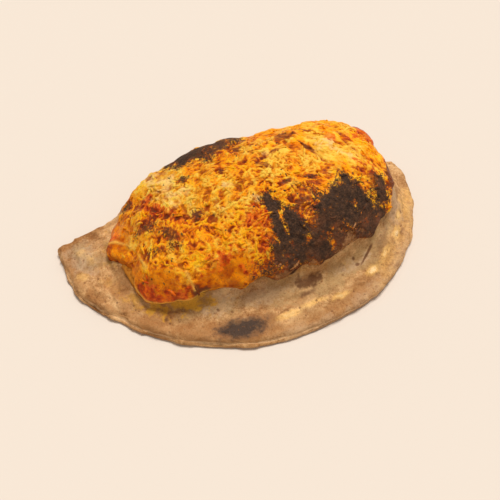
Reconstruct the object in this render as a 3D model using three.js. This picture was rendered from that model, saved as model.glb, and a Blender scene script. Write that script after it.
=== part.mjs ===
// A baked calzone: a disc of pizza dough folded over its filling into a half moon, its curved
// rim pinched shut, with a layer of tomato sauce and one of melted grated cheese on the dome.
//
// Millimetres, +Z up. X runs along the fold, the pinched rim faces -Y, and the origin is the
// middle of the base.
//
// The three pieces share one grid. Its rays leave the middle of the dome, and its stations
// follow the surface outwards: over the dome, across the skirt, round the rim, under the base.
// The sauce and the cheese are the same grid again, moved out along the surface's normals.

import * as THREE from "three";

// ---- Driving sizes ---------------------------------------------------------------------------

// The half moon, seen from above
const HALF_LENGTH = 149.7; // middle of the fold to a pointed end
const FRONT_REACH = 133.5; // line between the ends to the front of the rim
const BACK_REACH = 16; // how far the fold bows out behind that line
const BACK_BOW = 0.8; // power of that bow: 0.5 is an ellipse, 1 a parabola
const FRONT_FULLNESS = { end: 2.25, left: 1.9, right: 2.2 }; // 2 is an ellipse, more is boxier
const LEFT_TIP = { roundedBy: 0.8, spread: 2.5 }; // spread in degrees about the middle
const RIGHT_TIP = { roundedBy: 3.5, spread: 8 };
const RIM_WAVES = [{ height: 0.35, count: 7, shift: 1.2 }, { height: 0.25, count: 16, shift: 0.4 }];

// The filled dome
const DOME_MIDDLE = { x: 14, y: -32 };
const DOME_REACH = { left: 127, right: 119, front: 64, back: 68 };
const DOME_FULLNESS = { frontLeft: 3, frontRight: 1.8, backRight: 3.4, backLeft: 2.3 };
const DOME_ROUNDNESS = 2.6; // how flat the top stays before it turns down
const DOME_PROFILE = 0.52; // 0.5 meets the foot upright, more leans in
const FOOT_LIFT = 5; // power by which the foot's height tells further up
const FRONT_LEAN = { by: 0.17, facing: 0.25, spread: 0.75 }; // the front, right of its middle
const CREST = [[-110, 28], [-97, 33], [-82, 52], [-66, 58.5], [-38, 61], [-10, 65], [18, 66],
  [78, 72], [102, 72.5], [118, 70], [130, 50]]; // x and height of the dough along the dome

// The swells and creases of the dome: place, half-widths, turn in degrees, rise
const LUMP_FADE = 0.75; // they fade out from this share of the way down to the foot
const LUMPS = [
  { x: -106, y: -24, long: 12, wide: 22, turn: 12, rise: 4 }, // shoulder of the left end
  { x: -99, y: 6, long: 12, wide: 12, turn: 0, rise: -8 }, // notch behind that shoulder
  { x: -76, y: 13, long: 15, wide: 11, turn: 20, rise: 7.5 }, // swell behind the notch
  { x: -84, y: -74, long: 26, wide: 12, turn: -24, rise: 4.5 }, // pouch at the lower left
  { x: -8, y: -80, long: 34, wide: 16, turn: 6, rise: 2 }, // belly left of the front crease
  { x: 14, y: -62, long: 11, wide: 30, turn: 12, rise: -3.6 }, // crease down the front
  { x: 50, y: -68, long: 30, wide: 18, turn: 14, rise: 2.6 }, // belly right of the crease
  { x: 84, y: -54, long: 10, wide: 20, turn: 30, rise: -2.2 }, // narrow crease near the right end
  { x: 121, y: 8, long: 14, wide: 16, turn: 0, rise: 16 }, // bump behind the right shoulder
  { x: -24, y: 20, long: 20, wide: 12, turn: 10, rise: 5.5 }, // swell along the back
  { x: 0, y: 26, long: 14, wide: 12, turn: 0, rise: 4.5 }, // the second half of that swell
];

// The fold along the back: bearing in degrees and height of its outermost line
const FOLD = [[0, 8], [15, 13], [28, 23], [45, 31], [90, 33], [125, 31], [142, 27], [152, 21],
  [162, 14], [180, 10], [360, 8]];
const FOLD_BAND = { upper: 6, middle: -1, lower: -2 }; // the round of the fold, from that line
const FOLD_HUG = 12; // a skirt narrower than this melts into the fold
const FOLD_BLEND = 7; // rounding where the rim runs into the fold

// The flat skirt and the pinched rim
const SHEET = 9; // two layers of dough pressed together
const FLARE = { rise: 10, run: 7.5, fall: 1.3, from: [200, 235], to: [325, 368] }; // in front
const FILLET = { rise: 1.5, run: 3 }; // a tighter fillet all round the dome's foot
const RIDGE = { inset: 18.5, width: 7.5, low: 1, high: 5.2 }; // roll inside the rim
const RIDGE_WAVE = { height: 0.5, count: 9, shift: 1 };
const RIM_ROUNDING = 4;
const LIP = 2; // how far the lower layer shows past the upper one, at the left front
const SEAM_HEIGHT = 4.6; // where the two layers meet at the rim
const SEAM_GAP = 0.2;
const RIM_LOW = 2.4; // height of the rim's outermost line
const UNDERCUT = 4; // how far the rim's underside runs in before it touches down

// The toppings
const CLEARANCE = 0.45;
const SAUCE_THICKNESS = 1.5;
const CHEESE_THICKNESS = 2.4;
const CHEESE_CRAGS = 0.7; // rise and fall of the melted surface
const EDGE_ROUNDING = 3; // distance over which a topping thins out to its edge
const CHEESE_SHARE = 0.957; // how far down the dome the cheese runs, 1 being the dome's foot
const CHEESE_TUCKS = [ // bearings where it stops short or runs further
  { at: 352, spread: 20, by: -0.07 }, // right end
  { at: 21, spread: 22, by: -0.085 }, // behind the right shoulder
  { at: 278, spread: 7, by: -0.052 }, // at the front crease
  { at: 248, spread: 6, by: -0.016 },
  { at: 221, spread: 9, by: -0.014 },
  { at: 206, spread: 8, by: 0.01 }, // the pouch
  { at: 176, spread: 10, by: 0.014 }, // left end
  { at: 75, spread: 30, by: -0.02 },
];
const SAUCE_MARGIN = 0.008; // how much further the sauce runs than the cheese
const SAUCE_RUNS = [
  { at: 12, spread: 20, by: 0.06 },
  { at: 280, spread: 12, by: 0.032 },
  { at: 208, spread: 9, by: 0.01 },
];

// The grid
const FRONT_RAYS = 59;
const BACK_RAYS = 38;
const BACK_CROWDING = 0.35; // 0 spaces the back rays evenly, 1 crowds them at the ends
const CHEESE_STATIONS = [0.16, 0.32, 0.48, 0.62, 0.74, 0.84, 0.91, 0.96, 0.985, 1];
const SAUCE_STATIONS = [0.5, 1];
const BARE_STATIONS = [0.5, 1];
const SKIRT_STATIONS = [0.1, 0.22, 0.36, 0.5, 0.64, 0.8, 1];
const RIM_STATIONS = [0.3, 0.5, 0.65, 1];
const UNDER_STATIONS = [0.25, 0.5, 0.75, 1];

// ---- Small helpers ---------------------------------------------------------------------------

const mix = THREE.MathUtils.lerp;
const bell = (distance, width) => Math.exp(-((distance / width) ** 2));

// Smooth rise from 0 at a to 1 at b, or the fall from b to a where b is the lower one.
function step(a, b, x) {
  const t = THREE.MathUtils.clamp((x - a) / (b - a), 0, 1);
  return t * t * (3 - 2 * t);
}

// The larger of two lengths, with the corner between them rounded.
const softMax = (a, b, round) => 0.5 * (a + b + Math.hypot(a - b, round));

// Difference of two bearings in degrees, from -180 to 180.
const turnBetween = (a, b) => ((((a - b + 180) % 360) + 360) % 360) - 180;

// Height at x on a smooth curve through a few points.
function curveThrough(points, x) {
  const last = points.length - 1;
  const at = THREE.MathUtils.clamp(x, points[0][0], points[last][0]);
  let i = 0;
  while (i < last - 1 && at >= points[i + 1][0]) i++;
  const run = (k) => points[k + 1][0] - points[k][0];
  const slope = (k) => (points[k + 1][1] - points[k][1]) / run(k);
  const tangent = (k) => {
    if (k === 0) return slope(0);
    if (k === last) return slope(last - 1);
    return (run(k - 1) * slope(k) + run(k) * slope(k - 1)) / (run(k - 1) + run(k));
  };
  const h = run(i);
  const t = (at - points[i][0]) / h;
  return points[i][1] * (1 + 2 * t) * (1 - t) ** 2 + h * tangent(i) * t * (1 - t) ** 2
    + points[i + 1][1] * t * t * (3 - 2 * t) + h * tangent(i + 1) * t * t * (t - 1);
}

// ---- Rays from the middle of the dome ----------------------------------------------------------

// Point on the plain half moon: along the front from the left end, then back along the fold.
function outlinePoint(index) {
  if (index < FRONT_RAYS) {
    const along = -Math.cos((Math.PI * index) / FRONT_RAYS);
    const { end, left, right } = FRONT_FULLNESS;
    const n = mix(left, right, step(-0.5, 0.5, along)) + (end - left) * step(-0.78, -1, along);
    const depth = Math.max(0, 1 - Math.abs(along) ** n) ** (1 / n);
    return { x: HALF_LENGTH * along, y: -FRONT_REACH * depth };
  }
  const share = (index - FRONT_RAYS) / BACK_RAYS;
  const along = mix(1 - 2 * share, Math.cos(Math.PI * share), BACK_CROWDING);
  return { x: HALF_LENGTH * along, y: BACK_REACH * Math.max(0, 1 - along * along) ** BACK_BOW };
}

// Distance from the dome's middle to its foot: a superellipse whose fullness differs all round.
function domeReach(dx, dy) {
  const across = dx < 0 ? DOME_REACH.left : DOME_REACH.right;
  const deep = dy < 0 ? DOME_REACH.front : DOME_REACH.back;
  const rightness = step(-0.35, 0.35, dx);
  const n = dy < 0
    ? mix(DOME_FULLNESS.frontLeft, DOME_FULLNESS.frontRight, rightness)
    : mix(DOME_FULLNESS.backLeft, DOME_FULLNESS.backRight, rightness);
  return ((Math.abs(dx) / across) ** n + (Math.abs(dy) / deep) ** n) ** (-1 / n);
}

const bearingOf = (dx, dy) => (THREE.MathUtils.radToDeg(Math.atan2(dy, dx)) + 360) % 360;

function makeRay(index) {
  const point = outlinePoint(index);
  const toX = point.x - DOME_MIDDLE.x;
  const toY = point.y - DOME_MIDDLE.y;
  const length = Math.hypot(toX, toY);
  const dx = toX / length;
  const dy = toY / length;
  const bearing = bearingOf(dx, dy);
  const angle = THREE.MathUtils.degToRad(bearing);

  // The ends are rounded off, and the rim wavers a little
  let reach = length;
  for (const [side, tip] of [[-1, LEFT_TIP], [1, RIGHT_TIP]]) {
    const tipBearing = bearingOf(side * HALF_LENGTH - DOME_MIDDLE.x, -DOME_MIDDLE.y);
    reach -= tip.roundedBy * bell(turnBetween(bearing, tipBearing), tip.spread);
  }
  for (const wave of RIM_WAVES) reach += wave.height * Math.sin(wave.count * angle + wave.shift);

  const foot = domeReach(dx, dy);
  const rim = softMax(reach, foot + 1, FOLD_BLEND);
  const skirt = rim - foot;
  const hug = bell(skirt, FOLD_HUG) * step(0, 0.45, dy); // 1 where the dome runs into the fold
  const front = step(...FLARE.from, bearing) * (1 - step(...FLARE.to, bearing));
  const lean = FRONT_LEAN.by * bell(dx - FRONT_LEAN.facing, FRONT_LEAN.spread)
    * step(0, -0.6, dy) * (1 - hug);
  return {
    dx, dy, angle, bearing, foot, rim, skirt, hug,
    fold: curveThrough(FOLD, bearing),
    flare: FLARE.rise * front * (1 - hug),
    profile: DOME_PROFILE / (1 - lean),
  };
}

// ---- The dough's surface along one ray -----------------------------------------------------------

function lumpsAt(x, y) {
  let rise = 0;
  for (const lump of LUMPS) {
    const turn = THREE.MathUtils.degToRad(lump.turn);
    const along = ((x - lump.x) * Math.cos(turn) + (y - lump.y) * Math.sin(turn)) / lump.long;
    const across = ((y - lump.y) * Math.cos(turn) - (x - lump.x) * Math.sin(turn)) / lump.wide;
    rise += lump.rise * Math.exp(-along * along - across * across);
  }
  return rise;
}

const pointOn = (ray, distance, z) =>
  new THREE.Vector3(DOME_MIDDLE.x + ray.dx * distance, DOME_MIDDLE.y + ray.dy * distance, z);

const footHeight = (ray) => SHEET + ray.flare + (ray.fold + FOLD_BAND.upper - SHEET) * ray.hug;

// Share 0 is the middle of the dome, 1 is its foot.
function domePoint(ray, share) {
  const distance = ray.foot * share;
  const point = pointOn(ray, distance, 0);
  const low = SHEET + (footHeight(ray) - SHEET) * share ** FOOT_LIFT;
  const bulge = Math.max(0, 1 - share ** DOME_ROUNDNESS) ** ray.profile;
  const lumps = lumpsAt(point.x, point.y) * step(1, LUMP_FADE, share);
  point.z = low + (curveThrough(CREST, point.x) - low) * bulge + lumps;
  return point;
}

// The skirt, the rounded rim with its seam, and the turn under to the base.
function outerPoints(ray) {
  const { dx, dy, hug, foot, rim, skirt, fold } = ray;
  const lip = LIP * step(0.25, -0.15, dy) * step(0.35, -0.25, dx) * (1 - hug);
  const rounding = (RIM_ROUNDING + lip) * (1 - hug);
  const rightFront = step(-0.35, 0.3, dx) * step(0.5, 0.1, dy);
  const wave = RIDGE_WAVE.height * Math.sin(RIDGE_WAVE.count * ray.angle + RIDGE_WAVE.shift);
  const ridge = mix(RIDGE.low, RIDGE.high, rightFront) + wave;
  const seam = mix(SEAM_HEIGHT, fold + FOLD_BAND.middle, hug);
  const low = mix(RIM_LOW, fold + FOLD_BAND.lower, hug);
  const points = [];

  for (const share of SKIRT_STATIONS) {
    const distance = foot + (skirt - rounding) * share;
    const fromFoot = distance - foot;
    const flat = SHEET + ridge * bell(rim - distance - RIDGE.inset, RIDGE.width)
      + ray.flare * Math.exp(-((fromFoot / FLARE.run) ** FLARE.fall))
      + FILLET.rise * Math.exp(-fromFoot / FILLET.run) * step(4, 12, skirt);
    const folded = mix(seam + 1, footHeight(ray), Math.sqrt(1 - share * share));
    points.push(pointOn(ray, distance, mix(flat, folded, hug)));
  }

  const top = points[points.length - 1].z;
  for (const share of RIM_STATIONS) {
    const upper = share <= 0.5; // the upper layer first, then the lower one that shows past it
    const turn = Math.PI * (upper ? share : share - 0.5);
    const start = upper ? rim - rounding : rim - lip;
    const run = upper ? rounding - lip : lip;
    const from = upper ? top : seam - SEAM_GAP * (1 - hug);
    const to = upper ? seam : low;
    points.push(pointOn(ray, start + run * Math.sin(turn), to + (from - to) * Math.cos(turn)));
  }

  const undercut = UNDERCUT + hug * (fold - SHEET);
  for (const share of UNDER_STATIONS) {
    const turn = (Math.PI / 2) * share;
    points.push(pointOn(ray, rim - undercut * (1 - Math.cos(turn)), low * (1 - Math.sin(turn))));
  }
  return points;
}

// ---- Where the toppings end ------------------------------------------------------------------------

const sumOfBells = (bearing, bells) =>
  bells.reduce((sum, b) => sum + b.by * bell(turnBetween(bearing, b.at), b.spread), 0);

const cheeseShare = (ray) => CHEESE_SHARE + sumOfBells(ray.bearing, CHEESE_TUCKS);

const sauceShare = (ray) =>
  Math.min(0.988, cheeseShare(ray) + SAUCE_MARGIN + sumOfBells(ray.bearing, SAUCE_RUNS));

// Melted cheese sinks and heaps up: a slow pattern of rises and hollows.
const crags = (x, y) =>
  0.6 * Math.sin(x / 5.3 + 1.7 * Math.sin(y / 9.1)) * Math.cos(y / 4.7 + 0.9)
  + 0.4 * Math.sin((x + y) / 7.9 + 2.1);

// ---- The shared grid -------------------------------------------------------------------------------

const rays = Array.from({ length: FRONT_RAYS + BACK_RAYS }, (_, index) => makeRay(index));

const columns = rays.map((ray) => {
  const cheeseEnd = cheeseShare(ray);
  const sauceEnd = sauceShare(ray);
  const shares = [
    ...CHEESE_STATIONS.map((s) => cheeseEnd * s),
    ...SAUCE_STATIONS.map((s) => mix(cheeseEnd, sauceEnd, s)),
    ...BARE_STATIONS.map((s) => mix(sauceEnd, 1, s)),
  ];
  return [...shares.map((share) => domePoint(ray, share)), ...outerPoints(ray)];
});

// rings[station][ray]
const rings = columns[0].map((_, station) => columns.map((column) => column[station]));
const domeTop = domePoint(rays[0], 0);

const normals = rings.map((ring, station) => ring.map((_, index) => {
  const inner = station === 0 ? domeTop : rings[station - 1][index];
  const outer = rings[Math.min(station + 1, rings.length - 1)][index];
  const before = ring[(index + ring.length - 1) % ring.length];
  const after = ring[(index + 1) % ring.length];
  const outwards = new THREE.Vector3().subVectors(outer, inner);
  const around = new THREE.Vector3().subVectors(after, before);
  return outwards.cross(around).normalize();
}));

// ---- Closed bodies ---------------------------------------------------------------------------------

// A closed shell from a top point, rings from the top down, and a bottom point.
function closedShell(top, shellRings, bottom) {
  const count = shellRings[0].length;
  const positions = [top, ...shellRings.flat(), bottom].flatMap((p) => [p.x, p.y, p.z]);
  const bottomIndex = positions.length / 3 - 1;
  const vertex = (station, index) => 1 + station * count + (index % count);
  const faces = [];
  for (let index = 0; index < count; index++) {
    faces.push(0, vertex(0, index), vertex(0, index + 1));
    for (let station = 0; station < shellRings.length - 1; station++) {
      const a = vertex(station, index);
      const b = vertex(station + 1, index);
      const c = vertex(station + 1, index + 1);
      const d = vertex(station, index + 1);
      faces.push(a, b, c, a, c, d);
    }
    const end = shellRings.length - 1;
    faces.push(bottomIndex, vertex(end, index + 1), vertex(end, index));
  }
  const geometry = new THREE.BufferGeometry();
  geometry.setAttribute("position", new THREE.Float32BufferAttribute(positions, 3));
  geometry.setIndex(faces);
  geometry.computeVertexNormals();
  return geometry;
}

// A layer over the first stations: it starts at a height above the dough, has a thickness, and
// rounds off to nothing at its edge.
function topping(stationCount, height, thickness, roughness) {
  const layerRings = rings.slice(0, stationCount);
  const edge = stationCount - 1;
  const lift = (station, index, distance) =>
    rings[station][index].clone().addScaledVector(normals[station][index], distance);
  const thicknessAt = (station, index) => {
    const toEdge = rings[station][index].distanceTo(rings[edge][index]);
    const rounding = Math.min(1, toEdge / EDGE_ROUNDING);
    const { x, y } = rings[station][index];
    return (thickness + roughness * crags(x, y)) * Math.sqrt(1 - (1 - rounding) ** 2);
  };
  const outside = layerRings.map((ring, station) =>
    ring.map((_, index) => lift(station, index, height + thicknessAt(station, index))));
  const inside = layerRings.slice(0, edge).map((ring, station) =>
    ring.map((_, index) => lift(station, index, height)));
  const up = (distance) => domeTop.clone().setZ(domeTop.z + distance);
  return closedShell(up(height + thickness), [...outside, ...inside.reverse()], up(height));
}

function doughGeometry() {
  const baseMiddle = new THREE.Vector3(DOME_MIDDLE.x, DOME_MIDDLE.y, 0);
  return closedShell(domeTop, rings, baseMiddle);
}

function sauceGeometry() {
  const stations = CHEESE_STATIONS.length + SAUCE_STATIONS.length;
  return topping(stations, CLEARANCE, SAUCE_THICKNESS, 0);
}

function cheeseGeometry() {
  const height = CLEARANCE + SAUCE_THICKNESS + CLEARANCE;
  return topping(CHEESE_STATIONS.length, height, CHEESE_THICKNESS, CHEESE_CRAGS);
}

// ---- The calzone -----------------------------------------------------------------------------------

function piece(name, geometry, color, roughness) {
  const material = new THREE.MeshStandardMaterial({ color, roughness, metalness: 0 });
  const mesh = new THREE.Mesh(geometry, material);
  mesh.name = name;
  return mesh;
}

const calzone = new THREE.Group();
calzone.add(piece("dough", doughGeometry(), 0xc49a6c, 0.8));
calzone.add(piece("sauce", sauceGeometry(), 0xb8431a, 0.45));
calzone.add(piece("cheese", cheeseGeometry(), 0xe0922a, 0.5));

// Bring the middle of the base to the origin
const box = new THREE.Box3().setFromObject(calzone);
const middle = box.getCenter(new THREE.Vector3());
for (const mesh of calzone.children) mesh.geometry.translate(-middle.x, -middle.y, -box.min.z);

export default calzone;
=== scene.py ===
# %% [markdown]
# # A baked calzone
#
# A calzone is a disc of pizza dough folded over its filling and pinched shut along its curved
# edge. This one has tomato sauce and grated cheese baked on its dome, and the oven has scorched
# it in places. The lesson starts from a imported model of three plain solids, the dough, the sauce
# and the cheese, and replaces each with a fine mesh of the same form, with its crust, its melted
# shreds and its burns.

# %% Load the plain model
import math

import bpy
import numpy as np
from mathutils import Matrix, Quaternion, Vector, kdtree


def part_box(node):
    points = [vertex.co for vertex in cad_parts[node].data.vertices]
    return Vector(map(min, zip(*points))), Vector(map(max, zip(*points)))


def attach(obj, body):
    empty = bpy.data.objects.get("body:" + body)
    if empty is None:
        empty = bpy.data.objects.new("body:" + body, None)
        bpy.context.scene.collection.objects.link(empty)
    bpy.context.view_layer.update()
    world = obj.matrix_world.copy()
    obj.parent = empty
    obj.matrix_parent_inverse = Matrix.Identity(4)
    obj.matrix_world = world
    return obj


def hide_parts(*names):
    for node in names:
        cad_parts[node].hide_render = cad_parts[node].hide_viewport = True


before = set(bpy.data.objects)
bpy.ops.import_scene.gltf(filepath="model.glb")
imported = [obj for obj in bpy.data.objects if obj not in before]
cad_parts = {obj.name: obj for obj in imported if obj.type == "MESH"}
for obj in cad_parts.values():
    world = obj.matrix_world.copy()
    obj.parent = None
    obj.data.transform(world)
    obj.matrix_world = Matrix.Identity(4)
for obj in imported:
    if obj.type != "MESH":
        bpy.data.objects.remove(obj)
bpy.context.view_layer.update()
MM = 0.001

# %% [markdown]
# ## Camera, floor and light
#
# A long lens from above the table shows the whole half moon with little distortion. The floor is
# a plain pale sheet. Food looks best in soft light: one wide sun stands high, a little behind and
# to the right, and casts soft shadows, and a warm pale sky lights the rest. The standard view
# transform keeps the strong orange of the cheese, which a film-like one would wash out.

# %% Camera
CAMERA_PLACE = Vector((-141.0, -342.2, 533.0)) * MM
CAMERA_AIM = Vector((-1.6, 2.8, 0.0)) * MM
CAMERA_ROLL = math.radians(2.83)
FIELD_OF_VIEW = math.radians(34.79)

scene = bpy.context.scene
camera_data = bpy.data.cameras.new("camera")
camera_data.angle = FIELD_OF_VIEW
camera_data.clip_start = 0.01
camera = bpy.data.objects.new("camera", camera_data)
scene.collection.objects.link(camera)
camera.location = CAMERA_PLACE
facing = (CAMERA_AIM - CAMERA_PLACE).to_track_quat("-Z", "Y")
camera.rotation_mode = "QUATERNION"
camera.rotation_quaternion = facing @ Quaternion((0, 0, 1), CAMERA_ROLL)
scene.camera = camera
print("lens in mm:", round(camera_data.lens, 1))

# %% Floor
FLOOR_SIDE = 60.0
FLOOR_COLOR = (0.75, 0.665, 0.585)
FLOOR_ROUGHNESS, FLOOR_GLOSS = 0.9, 0.1

half = FLOOR_SIDE / 2
floor_mesh = bpy.data.meshes.new("floor")
floor_mesh.from_pydata([(-half, -half, 0), (half, -half, 0), (half, half, 0), (-half, half, 0)],
                       [], [(0, 1, 2, 3)])
floor = bpy.data.objects.new("floor", floor_mesh)
scene.collection.objects.link(floor)
floor_finish = bpy.data.materials.new("pale table")
floor_finish.use_nodes = True
floor_sockets = floor_finish.node_tree.nodes["Principled BSDF"].inputs
floor_sockets["Base Color"].default_value = (*FLOOR_COLOR, 1)
floor_sockets["Roughness"].default_value = FLOOR_ROUGHNESS
floor_sockets["Specular IOR Level"].default_value = FLOOR_GLOSS
floor_mesh.materials.append(floor_finish)
print("floor:", FLOOR_SIDE, "m a side")

# %% Light
WINDOW_PLACE = Vector((0.24, 0.24, 1.2))  # the light shines from here to the origin
WINDOW_STRENGTH = 2.75
WINDOW_SOFTNESS = math.radians(22)
WINDOW_COLOR = (1.0, 0.98, 0.95)
SKY_COLOR = (1.0, 0.93, 0.84)
SKY_STRENGTH = 0.42

window_data = bpy.data.lights.new("window", "SUN")
window_data.energy = WINDOW_STRENGTH
window_data.angle = WINDOW_SOFTNESS
window_data.color = WINDOW_COLOR
window = bpy.data.objects.new("window", window_data)
window.rotation_euler = (-WINDOW_PLACE).to_track_quat("-Z", "Y").to_euler()
scene.collection.objects.link(window)

sky = bpy.data.worlds.new("soft room")
sky.use_nodes = True
sky_sockets = sky.node_tree.nodes["Background"].inputs
sky_sockets["Color"].default_value = (*SKY_COLOR, 1)
sky_sockets["Strength"].default_value = SKY_STRENGTH
scene.world = sky
scene.view_settings.view_transform = "Standard"
scene.view_settings.look = "None"
print("window light", WINDOW_STRENGTH, "and sky", SKY_STRENGTH)

# %% [markdown]
# ## The form of the half moon
#
# A ruler and a few curves describe a calzone well. Rays leave the middle of the dome, and each
# one climbs down the dome, crosses the flat skirt, rounds the rim and turns under to the base.
# The same named sizes as in the plain model are used, so both have one form. Here numpy works out
# all the rays at once, which keeps a mesh of a hundred thousand faces quick to make. The sizes
# are in millimetres, with the line between the two pointed ends along X.

# %% Sizes of the outline and the dome
HALF_LENGTH = 149.7
FRONT_REACH = 133.5
BACK_REACH = 16
BACK_BOW = 0.8
FULL_END, FULL_LEFT, FULL_RIGHT = 2.25, 1.9, 2.2  # fullness of the front curve, 2 is an ellipse
FULL_END_FROM = -0.78  # the left end is fuller past this share of the half-length
BACK_CROWDING = 0.35  # how much the rays of the back crowd at its ends, from 0 to 1
TIPS = [(-1, 0.8, 2.5), (1, 3.5, 8)]  # side, rounded by, spread in degrees
RIM_WAVES = [(0.35, 7, 1.2), (0.25, 16, 0.4)]  # height, count, shift

MIDDLE_X, MIDDLE_Y = 14, -32
REACH_LEFT, REACH_RIGHT, REACH_FRONT, REACH_BACK = 127, 119, 64, 68
FOOT_FULL_FRONT, FOOT_FULL_BACK = (3, 1.8), (2.3, 3.4)  # fullness of the foot, left and right
DOME_ROUNDNESS = 2.6
DOME_PROFILE = 0.52
LEAN, LEAN_AT, LEAN_SPREAD = 0.17, 0.25, 0.75  # the front right of the dome falls more gently
FOOT_LIFT = 5  # the higher, the nearer to the foot the dome's base line rises
CREST = [(-110, 28), (-97, 33), (-82, 52), (-66, 58.5), (-38, 61), (-10, 65), (18, 66),
         (78, 72), (102, 72.5), (118, 70), (130, 50)]
LUMP_FADE = 0.75  # share of the dome past which its lumps fade
LUMPS = [  # x, y, half-length, half-width, turn in degrees, rise
    (-106, -24, 12, 22, 12, 4),  # shoulder of the left end
    (-99, 6, 12, 12, 0, -8),  # notch behind that shoulder
    (-76, 13, 15, 11, 20, 7.5),  # swell behind the notch
    (-84, -74, 26, 12, -24, 4.5),  # pouch at the lower left
    (-8, -80, 34, 16, 6, 2),  # belly left of the front crease
    (14, -62, 11, 30, 12, -3.6),  # crease down the front
    (50, -68, 30, 18, 14, 2.6),  # belly right of the crease
    (84, -54, 10, 20, 30, -2.2),  # narrow crease near the right end
    (121, 8, 14, 16, 0, 16),  # bump behind the right shoulder
    (-24, 20, 20, 12, 10, 5.5),  # swell along the back
    (0, 26, 14, 12, 0, 4.5),  # the second half of that swell
]
print("half moon:", 2 * HALF_LENGTH, "by", FRONT_REACH + BACK_REACH, "mm;", len(LUMPS), "lumps")

# %% [markdown]
# The dome runs into a round fold along the back, which is as high as the dough is thick there.
# Round the front lies the skirt, a flat sheet of two layers. It flares up to the dome's foot,
# carries a low roll a little inside its rim, and ends in a rounded edge with the seam of the
# pinch in it.

# %% Sizes of the fold, the skirt and the rim
FOLD = [(0, 8), (15, 13), (28, 23), (45, 31), (90, 33), (125, 31), (142, 27), (152, 21),
        (162, 14), (180, 10), (360, 8)]  # bearing in degrees and height
BAND_UPPER, BAND_MIDDLE, BAND_LOWER = 6, -1, -2  # rounded band of the fold, from its height
FOLD_HUG = 12  # the dome runs into the fold where the skirt is narrower than this
FOLD_BLEND = 7
SHEET = 9  # thickness of the skirt
FLARE_RISE, FLARE_RUN, FLARE_FALL = 10, 7.5, 1.3
FLARE_BEGINS, FLARE_ENDS = (200, 235), (325, 368)  # bearings over which it comes and goes
FILLET_RISE, FILLET_RUN = 1.5, 3
RIDGE_INSET, RIDGE_WIDTH, RIDGE_LOW, RIDGE_HIGH = 18.5, 7.5, 1, 5.2
RIDGE_WAVE, RIDGE_WAVES = 0.5, 9  # height and number of the waves along it
RIM_ROUNDING = 4
LIP = 2
SEAM_HEIGHT = 4.6
SEAM_GAP = 0.2
RIM_LOW = 2.4
UNDERCUT = 4
print("skirt", SHEET, "mm thick, fold", max(height for _, height in FOLD), "mm high")

# %% [markdown]
# Sauce and cheese lie on the dome as two thin sheets with a small clearance. Their edges are
# given as a share of the way from the middle of the dome to its foot. Each tuck or run adds to
# that share round one bearing: where it is, how wide it spreads in degrees, and by how much.

# %% Sizes of the toppings
CLEARANCE = 0.45
SAUCE_THICKNESS = 1.5
CHEESE_THICKNESS = 2.4
CHEESE_CRAGS = 0.7
EDGE_ROUNDING = 2
EDGE_THINNESS, EDGE_TAPER = 0.5, 9  # share of the thickness at the edge, full this far inside
CHEESE_SHARE = 0.957
CHEESE_TUCKS = [(352, 20, -0.07), (21, 22, -0.085), (278, 7, -0.052), (248, 6, -0.016),
                (221, 9, -0.014), (206, 8, 0.01), (176, 10, 0.014), (75, 30, -0.02)]
EDGE_RUNS = [(172, 13, 0.028), (207, 8, 0.012), (216, 5, 0.018), (238, 8, 0.012),
             (187, 7, -0.052), (262, 9, 0.03), (278, 7, 0.03), (291, 12, 0.01),
             (330, 10, 0.045), (346, 11, 0.045)]  # where melted cheese ran a little further
SAUCE_MARGIN = 0.008
SAUCE_RUNS = [(12, 20, 0.06), (280, 12, 0.032), (208, 9, 0.01), (188, 8, -0.03)]
print("sauce", SAUCE_THICKNESS, "mm and cheese", CHEESE_THICKNESS, "mm thick")

# %% [markdown]
# A few small helpers bend and blend lengths. `noise` is a random field that is smooth in space:
# each corner of a grid of cells gets a random number, and a point between them gets their blend.
# Seeded by the corner's own place, it gives the same calzone every time.

# %% Helpers for smooth shapes


def mix(a, b, share):
    return a + (b - a) * share


def step(a, b, x):
    """Smooth rise from 0 at a to 1 at b, or the fall where b is the lower one."""
    t = np.clip((x - a) / (b - a), 0, 1)
    return t * t * (3 - 2 * t)


def bell(distance, width):
    return np.exp(-((distance / width) ** 2))


def turn_between(a, b):
    """Difference of two bearings in degrees, from -180 to 180."""
    return (a - b + 180) % 360 - 180


def place_in_oval(x, y, middle_x, middle_y, long, wide, turn):
    """Place of each point along and across a turned oval, in half-lengths and half-widths."""
    c, s = math.cos(math.radians(turn)), math.sin(math.radians(turn))
    along = ((x - middle_x) * c + (y - middle_y) * s) / long
    across = ((y - middle_y) * c - (x - middle_x) * s) / wide
    return along, across


def curve_through(points, x):
    """Height at x on a smooth curve through a few points."""
    xs, ys = np.array(points, float).T
    run = np.diff(xs)
    slope = np.diff(ys) / run
    inner = (run[:-1] * slope[1:] + run[1:] * slope[:-1]) / (run[:-1] + run[1:])
    tangent = np.concatenate([slope[:1], inner, slope[-1:]])
    at = np.clip(x, xs[0], xs[-1])
    i = np.clip(np.searchsorted(xs, at, side="right") - 1, 0, len(run) - 1)
    t = (at - xs[i]) / run[i]
    return (ys[i] * (1 + 2 * t) * (1 - t) ** 2 + run[i] * tangent[i] * t * (1 - t) ** 2
            + ys[i + 1] * t * t * (3 - 2 * t) + run[i] * tangent[i + 1] * t * t * (t - 1))


FAR_OFF = 1000.0  # keeps the numbers of the cells above zero
NOISE_GAIN = 1.4  # brings the peaks of the field near -1 and 1


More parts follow.
